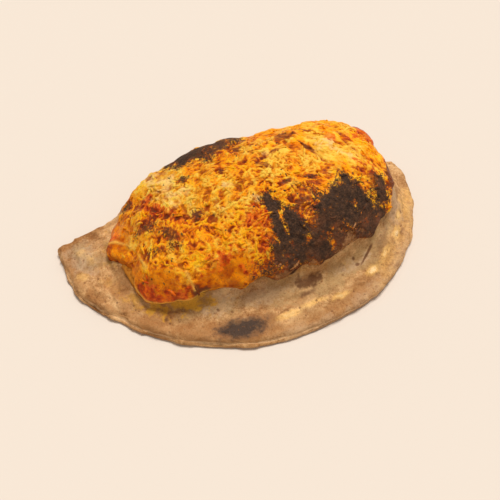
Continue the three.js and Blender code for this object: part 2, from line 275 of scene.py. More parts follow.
def corner_value(cell, seed):
    """A random number from -1 to 1 for each corner, made by mixing up the bits of its place."""
    x, y, z = (cell[..., k].astype(np.uint64) for k in range(3))
    n = x * np.uint64(73856093) ^ y * np.uint64(19349663) ^ z * np.uint64(83492791)
    n = (n ^ np.uint64(seed * 7919 + 17)) & np.uint64(0xFFFFFFFF)
    for _ in range(2):
        n = ((n ^ (n >> np.uint64(15))) * np.uint64(2246822519)) & np.uint64(0xFFFFFFFF)
    return (n >> np.uint64(8)).astype(float) / 2**23 - 1


def noise(points, size, seed=0):
    """A smooth random field from -1 to 1, with bumps about `size` mm across."""
    scaled = points / size + FAR_OFF
    cell = np.floor(scaled)
    part = scaled - cell
    part = part * part * part * (part * (part * 6 - 15) + 10)
    cell = cell.astype(np.int64)
    total = 0.0
    for corner in range(8):
        offset = np.array([(corner >> k) & 1 for k in range(3)])
        weight = np.prod(np.where(offset, part, 1 - part), axis=-1)
        total = total + weight * corner_value(cell + offset, seed)
    return total * NOISE_GAIN


def layered(points, layers, seed):
    """Sum of noises, each given by its height and by the size of its bumps."""
    return sum(height * noise(points, size, seed + i) for i, (height, size) in enumerate(layers))


sample = noise(np.random.default_rng(1).uniform(0, 100, (1000, 3)), 7)
print("noise runs from", round(sample.min(), 2), "to", round(sample.max(), 2))

# %% [markdown]
# ## Rays from the middle of the dome
#
# The outline comes first: the curved front from the left end to the right one, and back along
# the fold. Points crowd towards both ends, where it bends most. Each ray then knows how far it
# is to the dome's foot and to the rim, how strongly the dome runs into the fold there (`hug`),
# and how steeply it meets its foot.

# %% Rays


def outline(front_rays, back_rays):
    """Points on the plain half moon: along the front from the left end, back along the fold."""
    along = -np.cos(np.pi * np.arange(front_rays) / front_rays)
    n = mix(FULL_LEFT, FULL_RIGHT, step(-0.5, 0.5, along))
    n = n + (FULL_END - FULL_LEFT) * step(FULL_END_FROM, -1, along)
    depth = np.maximum(0, 1 - np.abs(along) ** n) ** (1 / n)
    share = np.arange(back_rays) / back_rays
    back = mix(1 - 2 * share, np.cos(np.pi * share), BACK_CROWDING)
    bow = np.maximum(0, 1 - back * back) ** BACK_BOW
    x = HALF_LENGTH * np.concatenate([along, back])
    y = np.concatenate([-FRONT_REACH * depth, BACK_REACH * bow])
    return x, y


def dome_reach(dx, dy):
    """Distance of the dome's foot along each direction."""
    across = np.where(dx < 0, REACH_LEFT, REACH_RIGHT)
    deep = np.where(dy < 0, REACH_FRONT, REACH_BACK)
    rightness = step(-0.35, 0.35, dx)
    n = np.where(dy < 0, mix(*FOOT_FULL_FRONT, rightness), mix(*FOOT_FULL_BACK, rightness))
    return ((np.abs(dx) / across) ** n + (np.abs(dy) / deep) ** n) ** (-1 / n)


class Rays:
    """All the rays of one mesh, as arrays with one entry a ray; bearings are in degrees."""

    def __init__(self, front_rays, back_rays):
        x, y = outline(front_rays, back_rays)
        to_x, to_y = x - MIDDLE_X, y - MIDDLE_Y
        length = np.hypot(to_x, to_y)
        self.dx, self.dy = to_x / length, to_y / length
        self.angle = np.arctan2(self.dy, self.dx)
        self.bearing = np.degrees(self.angle) % 360
        reach = length
        for side, rounded_by, spread in TIPS:
            tip = math.degrees(math.atan2(-MIDDLE_Y, side * HALF_LENGTH - MIDDLE_X)) % 360
            reach = reach - rounded_by * bell(turn_between(self.bearing, tip), spread)
        for height, count, shift in RIM_WAVES:
            reach = reach + height * np.sin(count * self.angle + shift)
        self.foot = dome_reach(self.dx, self.dy)
        gap = reach - self.foot - 1
        self.rim = 0.5 * (reach + self.foot + 1 + np.hypot(gap, FOLD_BLEND))
        self.skirt = self.rim - self.foot
        self.hug = bell(self.skirt, FOLD_HUG) * step(0, 0.45, self.dy)
        self.fold = curve_through(FOLD, self.bearing)
        front = step(*FLARE_BEGINS, self.bearing) * (1 - step(*FLARE_ENDS, self.bearing))
        self.flare = FLARE_RISE * front * (1 - self.hug)
        lean = LEAN * bell(self.dx - LEAN_AT, LEAN_SPREAD) * step(0, -0.6, self.dy)
        self.profile = DOME_PROFILE / (1 - lean * (1 - self.hug))
        self.foot_height = (SHEET + self.flare
                            + (self.fold + BAND_UPPER - SHEET) * self.hug)

    def point(self, distance, z):
        return np.stack([MIDDLE_X + self.dx * distance, MIDDLE_Y + self.dy * distance, z], -1)


foot_reach = Rays(100, 60).foot
print("dome foot from", foot_reach.min().round(), "to", foot_reach.max().round(), "mm out")

# %% [markdown]
# Along each ray the dome is a round profile between its foot and a crest line that rises and
# falls along X. One profile alone would look turned on a lathe, so a few broad lumps lift or
# dent it: the shoulders, the pouch, the bellies and the creases between them.

# %% The dome


def column(values):
    """Stations as a column, so that they spread over all the rays."""
    return np.asarray(values, float)[:, None]


def lumps_at(x, y, lumps=LUMPS):
    """How much the lumps of a list lift each point, in mm."""
    rise = 0.0
    for *oval, height in lumps:
        along, across = place_in_oval(x, y, *oval)
        rise = rise + height * np.exp(-along * along - across * across)
    return rise


def dome_points(rays, share):
    """Share 0 is the middle of the dome and 1 its foot; share has a row for each station."""
    distance = rays.foot * share
    flat = rays.point(distance, 0 * distance)
    x, y = flat[..., 0], flat[..., 1]
    low = SHEET + (rays.foot_height - SHEET) * share**FOOT_LIFT
    bulge = np.maximum(0, 1 - share**DOME_ROUNDNESS) ** rays.profile
    lumps = lumps_at(x, y) * step(1, LUMP_FADE, share)
    flat[..., 2] = low + (curve_through(CREST, x) - low) * bulge + lumps
    return flat


dome_height = dome_points(Rays(100, 60), column(np.linspace(0, 1, 60)))[..., 2].max()
print("dome", dome_height.round(1), "mm high")

# %% [markdown]
# Outside the foot the ray runs over the skirt and its roll, rounds the upper lip, dips into the
# seam, rounds the lower lip and turns under to the base. Along the fold there is no skirt: there
# the same stations make the round turn of the dough, and `hug` blends one into the other.

# %% The skirt, the rim and the fold


def outer_points(rays, skirt_stations, rim_stations, under_stations):
    """The skirt, the rounded rim with its seam, and the turn under to the base."""
    hug, foot, rim, fold = rays.hug, rays.foot, rays.rim, rays.fold
    lip = LIP * step(0.25, -0.15, rays.dy) * step(0.35, -0.25, rays.dx) * (1 - hug)
    rounding = (RIM_ROUNDING + lip) * (1 - hug)
    right_front = step(-0.35, 0.3, rays.dx) * step(0.5, 0.1, rays.dy)
    ridge = mix(RIDGE_LOW, RIDGE_HIGH, right_front)
    ridge = ridge + RIDGE_WAVE * np.sin(RIDGE_WAVES * rays.angle + 1)
    seam = mix(SEAM_HEIGHT, fold + BAND_MIDDLE, hug)
    low = mix(RIM_LOW, fold + BAND_LOWER, hug)

    from_foot = (rays.skirt - rounding) * skirt_stations
    distance = foot + from_foot
    flat = (SHEET + ridge * bell(rim - distance - RIDGE_INSET, RIDGE_WIDTH)
            + rays.flare * np.exp(-((from_foot / FLARE_RUN) ** FLARE_FALL))
            + FILLET_RISE * np.exp(-from_foot / FILLET_RUN) * step(4, 12, rays.skirt))
    folded = mix(seam + 1, rays.foot_height, np.sqrt(1 - skirt_stations**2))
    skirt = rays.point(distance, mix(flat, folded, hug))

    top = skirt[-1, :, 2]
    upper = rim_stations <= 0.5
    turn = np.pi * np.where(upper, rim_stations, rim_stations - 0.5)
    start = np.where(upper, rim - rounding, rim - lip)
    run = np.where(upper, rounding - lip, lip)
    above = np.where(upper, top, seam - SEAM_GAP * (1 - hug))
    below = np.where(upper, seam, low)
    edge = rays.point(start + run * np.sin(turn), below + (above - below) * np.cos(turn))

    undercut = UNDERCUT + hug * (fold - SHEET)
    turn = np.pi / 2 * under_stations
    under = rays.point(rim - undercut * (1 - np.cos(turn)), low * (1 - np.sin(turn)))
    return np.concatenate([skirt, edge, under])


ends = column([0.5, 1.0])
skirt_height = outer_points(Rays(100, 60), ends, ends, ends)[..., 2].max()
print("skirt and fold reach", skirt_height.round(1), "mm high")

# %% [markdown]
# Three more helpers turn a grid of points into a closed mesh: the outward direction at each
# point, the skin over the rings, and the link to Blender. The whole is shifted so that the
# middle of its base is at the origin, where the plain model has it.

# %% From rings to a mesh


def outward(rings, top):
    """Unit normals of the grid, from the neighbours along the ray and round the ring."""
    inner = np.concatenate([np.broadcast_to(top, rings[:1].shape), rings[:-1]])
    outer = np.concatenate([rings[1:], rings[-1:]])
    around = np.roll(rings, -1, axis=1) - np.roll(rings, 1, axis=1)
    normal = np.cross(outer - inner, around)
    return normal / np.maximum(np.linalg.norm(normal, axis=-1, keepdims=True), 1e-9)


def skin(rings, top, bottom):
    """Points and faces of a closed shell from a top pole, rings, and a bottom pole."""
    stations, count = rings.shape[:2]
    points = np.concatenate([[top], rings.reshape(-1, 3), [bottom]])
    ids = 1 + np.arange(stations * count).reshape(stations, count)
    after = np.roll(ids, -1, axis=1)
    quads = np.stack([ids[:-1], ids[1:], after[1:], after[:-1]], -1).reshape(-1, 4)
    cap = np.stack([np.zeros(count, int), ids[0], after[0]], -1)
    base = np.stack([np.full(count, len(points) - 1), after[-1], ids[-1]], -1)
    return points, quads, np.concatenate([cap, base])


coarse = Rays(400, 200)
coarse_rim = coarse.point(coarse.rim, 0 * coarse.rim)
base_middle = (coarse_rim.min(0) + coarse_rim.max(0)) / 2
plain_low, plain_high = (np.array(v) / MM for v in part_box("dough"))
SHIFT = (plain_low + plain_high) / 2 - base_middle
SHIFT[2] = 0
print("shift to the middle of the base, in mm:", SHIFT.round(2))


def make_piece(name, points, quads, triangles, fields):
    """A smooth Blender mesh from points in mm, with one number a point for each named field."""
    mesh = bpy.data.meshes.new(name)
    loops = np.concatenate([quads.ravel(), triangles.ravel()])
    sizes = np.concatenate([np.full(len(quads), 4), np.full(len(triangles), 3)])
    mesh.vertices.add(len(points))
    mesh.loops.add(len(loops))
    mesh.polygons.add(len(sizes))
    mesh.vertices.foreach_set("co", ((points + SHIFT) * MM).ravel())
    mesh.loops.foreach_set("vertex_index", loops)
    mesh.polygons.foreach_set("loop_start", np.concatenate([[0], np.cumsum(sizes)[:-1]]))
    mesh.update(calc_edges=True)
    mesh.validate()
    mesh.shade_smooth()
    for field, values in fields.items():
        mesh.attributes.new(field, "FLOAT", "POINT").data.foreach_set("value", values)
    piece = bpy.data.objects.new(name, mesh)
    scene.collection.objects.link(piece)
    print(name, "has", 2 * len(quads) + len(triangles), "triangles")
    return piece


# %% [markdown]
# ## Where the oven coloured it
#
# Browning, burns, floury places and bare sauce lie where the heat and the hand put them, so they
# are patches with a place and a size, seen from above: x, y, half-length, half-width, turn in
# degrees and strength. `patches_at` gives the strongest patch at each point, with edges made
# ragged by noise. The result is kept on the mesh as named fields, which the materials read.

# %% The strength of patches


def patches_at(points, patches, ragged=0.35, size=6.0, soft=0.45, seed=3):
    """Strength of the strongest patch at each point, its edge frayed by noise of that size."""
    x, y = points[:, 0], points[:, 1]
    wobble = ragged * layered(points, [(1, size), (0.6, size / 2.6), (0.45, size / 5)], seed)
    best = np.zeros(len(points))
    for *oval, strength in patches:
        away = np.hypot(*place_in_oval(x, y, *oval)) + wobble
        best = np.maximum(best, strength * step(1 + soft, 1 - soft, away))
    return best


middle = patches_at(np.zeros((1, 3)), [(0, 0, 10, 10, 0, 1)])
print("strength in the middle of a patch:", middle[0])

# %% [markdown]
# The toppings carry six kinds of patch: scorched, browned, bare where the crust shows, saucy,
# pale and the smooth film. Light gaps are spared inside the scorched ones, since char breaks up.

# %% Patches on the toppings
SCORCH = [
    (8, -47, 4.5, 4, 0, 1.05), (10, -54, 5, 8, 15, 1.25), (9, -70, 4, 12, 5, 1.2),
    (5, -84, 6, 6, 0, 0.9),  # band down the front crease
    (22, -67, 6, 7, 0, 1.3), (21, -75, 8.5, 9, 0, 1.3), (20, -85, 11, 7, 0, 1.15),
    (-4, -90, 14, 4, 0, 0.55), (10, -95, 12, 4, 0, 0.35), (38, -50, 12, 8, 0, 0.25),
    (70, -51, 6, 6, 20, 1.1), (67, -59, 13, 8, 10, 1.3), (60, -69, 20, 10, 0, 1.3),
    (80, -66, 12, 11, 0, 1.3), (57, -80, 17, 6, -5, 1), (45, -73, 6, 9, 0, 1.15),
    (52, -89, 5, 6, 0, 1.1), (86, -79, 12, 6, 26, 1.2), (40, -88, 8, 8, 0, 1.2),
    (35, -83, 8, 6, 0, 1.2),  # the large scorched belly
    (98, -57, 5, 9, -28, 1.1), (101, -49, 3.5, 6, -20, 1), (95, -68, 5, 6, 0, 1.1),
    (91, -61, 4, 5, 0, 0.8),
    (-32, 19, 16, 7, 5, 1.1), (-10, 21, 12, 8, -5, 1), (6, 24, 9, 6, 0, 0.9),
    (-20, 8, 5, 6, 0, 0.6),  # along the back
    (-84, -30, 5, 3, -10, 0.42), (-76, -34, 4, 5, 20, 0.42), (-67, -46, 3, 6, 10, 0.46),
    (-66, -57, 3.5, 4, 20, 0.42), (-78, -53, 5, 2.6, -30, 0.38),  # ring on the left
    (-44, -6, 3.4, 3.4, 0, 0.6), (-44, -41, 4.5, 2.8, 0, 0.5), (-33, -47, 2.4, 1.6, 0, 0.5),
    (-15, -12, 1.6, 2.6, 0, 0.65), (45, -42, 4.5, 1.6, -8, 0.6), (-87, 3, 3, 4, 0, 0.7),
]
BROWNED = [
    (36, -60, 9, 15, 0, 0.7), (30, -88, 20, 6, 0, 0.6), (66, -42, 26, 6, 0, 0.5),
    (-72, -46, 22, 20, 0, 0.3), (-12, 16, 34, 14, 0, 0.5), (-5, -84, 20, 10, 0, 0.3),
    (60, 12, 26, 12, 0, 0.2), (25, -32, 24, 10, 0, 0.3), (-20, -52, 22, 8, 0, 0.3),
    (10, -93, 26, 6, 0, 0.8), (50, -92, 26, 7, 4, 1.0), (80, -80, 18, 8, 30, 1.0),
    (40, -76, 8, 12, 0, 0.8), (27, -41, 6, 2, 0, 0.85), (17, -19, 5, 3, -40, 0.8),
    (-110, -14, 4, 22, 4, 0.6), (-106, -62, 4, 12, 25, 0.4), (54, -14, 1.6, 10, 24, 1),
    (60, -83, 15, 6, -5, 1.5), (-56, -90, 6, 4, 0, 1.3),
    (-79, -32, 7, 3.5, 0, 0.75), (-66, -48, 4, 7, 15, 0.85), (-77, -55, 7, 4, -20, 0.75),
    (46, 6, 9, 4, 0, 0.8), (9, -30, 6, 5, 0, 0.45), (94, -50, 6, 6, 0, 0.8),
    (-15, -13, 2.8, 2.8, 0, 0.9), (-43, -7, 4, 4, 0, 0.8), (-42, -42, 5, 3.4, 0, 0.7),
    (115, -46, 6, 15, -15, 1.05), (4, 6, 3, 3, 0, 0.9), (58, 10, 9, 3, -40, 0.8),
    (30, -9, 4, 2, 0, 0.8), (35, -58, 6, 11, 0, 0.9), (20, -88, 22, 6, 0, 0.6),
]
BARE = [  # the crust shows through
    (67, -88, 12, 7, 4, 2), (34, -94, 11, 4.5, 4, 1.0), (48, -94, 10, 3.5, 0, 1.3),
    (16, -96, 17, 5, 3, 0.9),
]
SAUCY = [
    (-94, -72, 5, 10, 30, 1), (-84, -80, 11, 6, -32, 1), (-73, -85, 10, 4.5, -12, 1),
    (-73, -8, 5, 6, 0, 1), (-69, -20, 4, 7, 20, 1), (-62, -32, 4, 8, 35, 0.95),
    (-55, -41, 3.5, 7, 50, 0.85), (-100, -15, 6, 12, 0, 0.35),
    (-38, -77, 13, 5, 8, 0.8), (-16, -84, 12, 5, 5, 0.6), (-6, -62, 9, 9, 0, 0.85),
    (-4, -70, 7, 9, 0, 0.6), (109, -7, 9, 8, -30, 1), (75, -9, 3.5, 5, -30, 0.95),
    (90, -8, 6, 4, -40, 0.6), (88, -36, 7, 3, -30, 0.7), (100, -38, 5, 4, -30, 0.7),
    (116, -32, 5, 14, 0, 0.45), (92, -44, 12, 5, 0, 0.5), (22, -36, 10, 5, 0, 0.35),
]
PALE = [
    (-58, 2, 13, 18, 0, 1.5), (-48, -24, 9, 13, 20, 1.4), (-60, 18, 14, 8, 20, 1.25),
    (-22, -6, 12, 10, 0, 0.5), (-14, -32, 14, 9, 0, 0.4), (8, 4, 12, 14, 0, 0.5),
    (30, -20, 20, 12, 0, 0.55), (80, -25, 13, 8, -20, 1), (66, -3, 8, 9, 0, 1.2),
    (98, 2, 14, 10, 0, 0.4), (50, -28, 10, 7, -30, 0.9), (40, 8, 14, 12, 0, 0.4),
    (-34, -46, 10, 8, 0, 0.35),
    (-48, -31, 6, 6, 0, 1.4), (-63, -7, 7, 6, 0, 1.3), (-91, -26, 5, 8, 0, 0.5),
    (-56, -15, 3.5, 3, 0, 2), (-27, -42, 3, 9, 10, 1.4), (-12, -29, 7, 4, -30, 1.6),
    (-66, 15, 9, 7, 0, 1.5), (73, -11, 6, 5, 0, 1.8), (80, -27, 9, 4, -35, 1.5),
    (62, -20, 5, 8, -30, 1.4), (24, -8, 6, 4, -30, 1.5), (-2, -46, 6, 4, 0, 1.4),
]
SMOOTH_FILM = [  # melted flat, with no shreds left
    (-102, -14, 11, 28, 6, 1), (-101, -50, 12, 26, 22, 1), (-86, -76, 20, 10, -28, 1),
    (-60, -88, 22, 7, -8, 1), (-36, -85, 22, 7, 4, 1), (-12, -92, 24, 5, 0, 0.9),
    (58, -86, 34, 8, 5, 0.8), (22, -84, 12, 6, 0, 0.6), (84, -76, 12, 8, 20, 0.8),
]


SPARED = [  # light gaps inside the scorched places
    (65, -83, 9, 3.5, -10, 0.3), (33, -94, 2.6, 5, 10, 0.9), (92, -58, 2, 8, -25, 0.5),
    (15, -70, 2.2, 10, 8, 0.5), (34, -60, 5, 12, 8, 0.6),
]


def topping_fields(points):
    """The named fields of the cheese and the sauce at each point."""
    bare = np.clip(patches_at(points, BARE, 0.5, 7, 0.7, 25), 0, 1)
    spared = np.maximum(patches_at(points, SPARED, 0.4, 4), 0.85 * bare)
    return {
        "scorch": patches_at(points, SCORCH, 0.4, 6, 0.8) * (1 - spared),
        "browned": patches_at(points, BROWNED, 0.45, 9, 0.8, 7),
        "bare": bare,
        "saucy": patches_at(points, SAUCY, 0.4, 7, 0.6, 11),
        "pale": patches_at(points, PALE, 0.4, 9, 0.8, 15),
        "film": patches_at(points, SMOOTH_FILM, 0.25, 8, 0.4, 19),
    }


TOPPING_PATCHES = (SCORCH, SPARED, BROWNED, BARE, SAUCY, PALE, SMOOTH_FILM)
print(sum(len(patches) for patches in TOPPING_PATCHES), "patches on the toppings")

# %% [markdown]
# ## The cheese
#
# Grated cheese melts into one sheet, but its shreds still show as curls and ridges. Noise alone
# gives lumps, not curls. So thousands of strands wander over the dome, each bending its own way,
# and every point of the sheet rises where a strand passes. On the right the cheese was drawn out
# one way, and the strands there run long and nearly straight.

# %% Melted strands
STRANDS = 5000
STRIDE = 0.75
STEPS = (6, 14)
STRAND_RADIUS = (0.8, 1.5)
STRAND_BEND = 0.22  # radians a mm, at most
COMBED_FROM, COMBED_TO = 10, 70  # places along X where strands begin to be drawn out, and all are
COMBED_WAY = np.array([1.6, -1.1, 0])
COMBED_LENGTH = 1.9  # times the length of the others
COMBED_STRAIGHTNESS = 0.7
NEXT_SAMPLES = 5  # samples of strands looked at round each point
THINNEST = 0.3
STRAND_RISE = (0.55, 1.1)  # of the radius, from the darkest strand to the lightest
# The sheet between strands takes a lower shade than most strands: painted shade in the gaps.
SHADE_BETWEEN = 0.3  # shade of the sheet where no strand passes


def search_tree(points):
    tree = kdtree.KDTree(len(points))
    for i, place in enumerate(points):
        tree.insert(place, i)
    tree.balance()
    return tree


def walk_strands(points, normals, weight, seed):
    """Lets strands wander over a surface: their places, radii and shades, a row for each step."""
    draw = np.random.default_rng(seed)
    surface = search_tree(points)
    starts = draw.choice(len(points), STRANDS, p=weight / weight.sum())
    place, up = points[starts], normals[starts]
    way = np.cross(up, draw.normal(size=(STRANDS, 3)))
    combed = step(COMBED_FROM, COMBED_TO, place[:, 0])
    way = way + (combed * np.sign(way @ COMBED_WAY))[:, None] * COMBED_WAY
    bend = draw.uniform(-STRAND_BEND, STRAND_BEND, STRANDS) * (1 - COMBED_STRAIGHTNESS * combed)
    length = draw.integers(*STEPS, STRANDS) * mix(1, COMBED_LENGTH, combed)
    radius = draw.uniform(*STRAND_RADIUS, STRANDS)
    shade = draw.uniform(0, 1, STRANDS)
    places, radii, shades = [], [], []
    for number in range(math.ceil(STEPS[1] * COMBED_LENGTH)):
        way = way + STRIDE * bend[:, None] * np.cross(up, way)
        way = way - up * np.sum(way * up, axis=1, keepdims=True)
        way = way / np.linalg.norm(way, axis=1, keepdims=True)
        place = place + way * STRIDE
        near = np.array([surface.find(spot)[1] for spot in place])
        up = normals[near]
        place = place - up * np.sum((place - points[near]) * up, axis=1, keepdims=True)
        share = number / length
        along = np.minimum(1, 0.05 + 0.9 * share)  # a strand is blunt at both ends
        taper = np.sqrt(np.maximum(0, np.sin(np.pi * along)))
        radii.append(radius * taper * (share <= 1))
        places.append(place)
        shades.append(shade)
    return np.concatenate(places), np.concatenate(radii), np.concatenate(shades)


def strand_relief(points, normals, weight, seed):
    """Height of the highest strand at each point, and that strand's shade."""
    places, radii, shades = walk_strands(points, normals, weight, seed)
    kept = radii > THINNEST
    places, radii, shades = places[kept], radii[kept], shades[kept]
    samples = search_tree(places)
    height = np.zeros(len(points))
    shade = np.full(len(points), SHADE_BETWEEN)
    for i, spot in enumerate(points):
        for _, j, away in samples.find_n(spot, NEXT_SAMPLES):
            if away < radii[j]:
                round_top = math.sqrt(1 - (away / radii[j]) ** 2)
                rise = radii[j] * round_top * mix(*STRAND_RISE, shades[j])
                if rise > height[i]:
                    height[i], shade[i] = rise, shades[j]
    return height, shade


print(STRANDS, "strands of", STRIDE * STEPS[0], "to", STRIDE * STEPS[1], "mm")

# %% [markdown]
# The melted face is made of a few reliefs that add up. The strands stand on it, small heaps lift
# it, creases cut in where the sheet folded, and pale strings cross it. Where the cheese ran into
# a film or burnt to leather, strands and heaps fade. Each crease and string is a line through a
# few places, seen from above.

# %% Relief of the melted face
CREASES = [  # points along the valley, half-width and depth
    ([(47, 4), (51, -7), (54, -14), (57, -21), (61, -29), (66, -36)], 2.2, 1.7),
    ([(36, -38), (43, -43), (50, -43)], 1.8, 1.2),
    ([(-86, 4), (-74, -15), (-63, -34), (-47, -44), (-33, -51)], 4, 1.8),
    ([(-28, 14), (-12, -4), (6, -12), (24, -12)], 4, 1.3),
    ([(88, 8), (86, -10), (94, -28), (92, -44)], 3, 1.4),
    ([(-36, -64), (-12, -62), (4, -50)], 4, 1.2),
]
STRINGS = [
    [(-110, -16), (-102, -21), (-95, -29), (-90, -38), (-88, -48), (-85, -60)],
    [(-63, -76), (-62, -80), (-60, -85)],
]
STRING_WIDTH, STRING_HEIGHT = 1.0, 0.9
SWELLS = [(-108, -18, 7, 22, 5, 2.2), (-104, -55, 8, 14, 25, 1.2), (111, -56, 8, 16, -30, 0.7)]
HEAPS = [(0.9, 13), (0.7, 7), (0.3, 3.5)]  # height and size
STRAND_GAIN, STRAND_SINK, HEAP_GAIN = 1.15, 0.9, 0.85
STRAND_TOP = 1.1  # strands that high count as the top of the face
FILM_SMOOTHING, BURN_SMOOTHING = 0.95, 0.6
CREASE_BROWN_AND_SHADE = 0.35  # for each mm of depth


def cell_sizes(rings):
    """Area round each point of a grid of rings."""
    along = np.linalg.norm(np.gradient(rings, axis=0), axis=-1)
    around = np.linalg.norm(np.roll(rings, -1, axis=1) - rings, axis=-1)
    return (along * around).ravel()


def away_from(points, line):
    """Distance of each point from a line over the sheet that is given from above."""
    spots = np.array([points[np.argmin(np.hypot(*(points[:, :2] - spot).T))] for spot in line])
    away = np.full(len(points), np.inf)
    for start, run in zip(spots, np.diff(spots, axis=0)):
        share = np.clip((points - start) @ run / (run @ run), 0, 1)
        away = np.minimum(away, np.linalg.norm(points - start - share[:, None] * run, axis=1))
    return away


def crease_depth(points):
    """How deep the folds of the sheet cut in, in mm."""
    depth = np.zeros(len(points))
    for line, width, deep in CREASES:
        away = away_from(points, line) + 0.8 * noise(points, 5, 39)
        depth = np.maximum(depth, deep * bell(away, width))
    return depth


def melted_relief(rings, normals, fields):
    """Height of the melted face above the plain sheet in mm, how high up it is, and its shade."""
    points = rings.reshape(-1, 3)
    strands, shade = strand_relief(points, normals.reshape(-1, 3), cell_sizes(rings), 21)
    grid = strands.reshape(rings.shape[:2])
    strands = (0.5 * grid + 0.25 * (np.roll(grid, 1, axis=1) + np.roll(grid, -1, axis=1))).ravel()
    heaps = layered(points, HEAPS, 36)
    smoothness = np.maximum(FILM_SMOOTHING * fields["film"],
                            BURN_SMOOTHING * np.minimum(1, fields["scorch"]))
    creases = crease_depth(points)
    # Creases darken with their depth: browning, and painted shade in the folds.
    fields["browned"] = np.maximum(fields["browned"], CREASE_BROWN_AND_SHADE * creases)
    strings = np.max([bell(away_from(points, line), STRING_WIDTH) for line in STRINGS], axis=0)
    fields["string"] = strings * (0.75 + 0.3 * noise(points, 6, 35))
    height = ((STRAND_GAIN * strands - STRAND_SINK) * (1 - smoothness)
              + HEAP_GAIN * heaps * (1 - 0.5 * smoothness))
    height = height - creases + STRING_HEIGHT * fields["string"]
    height = height + lumps_at(points[:, 0], points[:, 1], SWELLS)
    return height, np.clip(strands / STRAND_TOP, 0, 1), shade


print(len(CREASES), "creases and", len(STRINGS), "strings")

# %% [markdown]
# A topping's edge follows its tucks and runs and then wanders a little, as melted food does. The
# plain sheet has long low crags, and the fine one keeps them under its own relief.

# %% The edge and the crags of a topping
EDGE_WAVES = [(0.008, 14), (0.006, 5.5)]  # share of the dome and size


def crags(x, y):
    """Long low waves that the plain sheet has too, from -1 to 1."""
    return (0.6 * np.sin(x / 5.3 + 1.7 * np.sin(y / 9.1)) * np.cos(y / 4.7 + 0.9)
            + 0.4 * np.sin((x + y) / 7.9 + 2.1))


def edge_wander(rays, seed):
    """How far a topping's edge strays from its plain line, as a share of the dome."""
    return layered(rays.point(rays.foot, 0 * rays.foot), EDGE_WAVES, seed)


def sum_of_bells(bearing, bells):
    """Sum of the tucks or runs of an edge at each bearing."""
    return sum(by * bell(turn_between(bearing, at), spread) for at, spread, by in bells)


tucked = CHEESE_SHARE + sum_of_bells(np.arange(360), CHEESE_TUCKS)
print("cheese ends at", tucked.min().round(2), "to", tucked.max().round(2), "of the way")

# %% [markdown]
# The sheet itself is the dome's grid moved out along its normals. Its lower edge wanders, thins
# out and is rounded off, and a coarse copy of the grid closes it underneath. Only an outer face
# that shows has to be fine.

# %% The cheese sheet
SHEET_STATIONS = 148
CROWDING = 1.25  # the higher, the closer the stations near the edge
INSIDE_EVERY = 16  # the underside keeps one in so many of the outer stations
NEAR_EDGE = np.array([13, 9, 6, 4, 3])  # stations from the edge that the underside keeps too
INSIDE_LIFT = -0.1
EDGE_DIP = 0.25  # the edge bends down to the crust by this much
RIM_LINE_INSET, RIM_LINE_WIDTH = 3.2, 1.3  # pale raised line along the edge of the pouch
BARE_THINNING = 0.6
FURTHEST_SHARE = 0.998
POUCH_X, POUCH_Y = (-45, -60), (-50, -62)  # places over which the pouch begins
RELIEF_INSET = 2.5  # the relief is full this far inside the edge
LIFT_INSET = 5  # and so far inside it lies at its full height above the crust
LAID_INSET = (3, 8)  # where loose shreds begin to lie, and where they lie as thick as inside
FILM_CLEARS, BURN_CLEARS = 0.97, 0.9  # share of the loose shreds that are missing there


def topping(name, rays, end, stations, height, thickness, roughness, relief):
    """A sheet over the dome from its middle to the share `end`, rounded off at its edge."""
    shares = end * column(1 - (1 - np.linspace(0, 1, stations)[1:]) ** CROWDING)
    rings = dome_points(rays, shares)
    top = dome_points(rays, column([0.0]))[0, 0]
    normals = outward(rings, top)
    to_edge = np.linalg.norm(rings - rings[-1], axis=-1)
    flat = rings.reshape(-1, 3)
    fields = topping_fields(flat)
    rise, fields["level"], fields["shade"] = relief(rings, normals, fields)
    pouch = step(*POUCH_X, flat[:, 0]) * step(*POUCH_Y, flat[:, 1])
    rim_line = bell(to_edge.ravel() - RIM_LINE_INSET, RIM_LINE_WIDTH) * pouch
    fields["string"] = np.maximum(fields.get("string", 0), rim_line)
    fields["laid"] = (step(*LAID_INSET, to_edge).ravel() * (1 - FILM_CLEARS * fields["film"])
                      * (1 - BURN_CLEARS * step(0.3, 0.8, fields["scorch"])))

    body = thickness + roughness * crags(rings[..., 0], rings[..., 1])
    body = body + rise.reshape(body.shape) * step(0, RELIEF_INSET, to_edge)
    body = body + STRING_HEIGHT * rim_line.reshape(body.shape)
    thinned = BARE_THINNING * np.clip(fields["bare"], 0, 1).reshape(body.shape)
    body = body * mix(EDGE_THINNESS, 1, step(0, EDGE_TAPER, to_edge)) * (1 - thinned)
    rounding = np.sqrt(1 - (1 - np.minimum(1, to_edge / EDGE_ROUNDING)) ** 2)
    start = height * step(0, LIFT_INSET, to_edge) - EDGE_DIP * step(3, 0, to_edge)
    outside = rings + normals * (start + body * rounding)[..., None]
    far_rows = np.arange(0, stations - NEAR_EDGE[0] - 1, INSIDE_EVERY)
    rows = np.append(far_rows, stations - NEAR_EDGE)
    inside = (rings + normals * (start + INSIDE_LIFT)[..., None])[rows][::-1]
    upright = np.array([0, 0, 1.0])
    points, quads, triangles = skin(np.concatenate([outside, inside]),
                                    top + upright * (height + thickness),
                                    top + upright * (height + INSIDE_LIFT))
    blank = np.zeros(inside[..., 0].size + 1)
    for field, values in fields.items():
        fields[field] = np.concatenate([values[:1], values, blank])
    return make_piece(name, points, quads, triangles, fields)


rays = Rays(380, 220)
cheese_end = (CHEESE_SHARE + sum_of_bells(rays.bearing, CHEESE_TUCKS + EDGE_RUNS)
              + edge_wander(rays, 41))
cheese = topping("cheese_sheet", rays, np.minimum(FURTHEST_SHARE, cheese_end), SHEET_STATIONS,
                 CLEARANCE + SAUCE_THICKNESS + CLEARANCE, CHEESE_THICKNESS, CHEESE_CRAGS,
                 melted_relief)

# %% [markdown]
# ## The sauce
#
# The tomato is a thin wet layer that shows only where the cheese stops short of it. It is made
# in the same way, with soft low bumps.

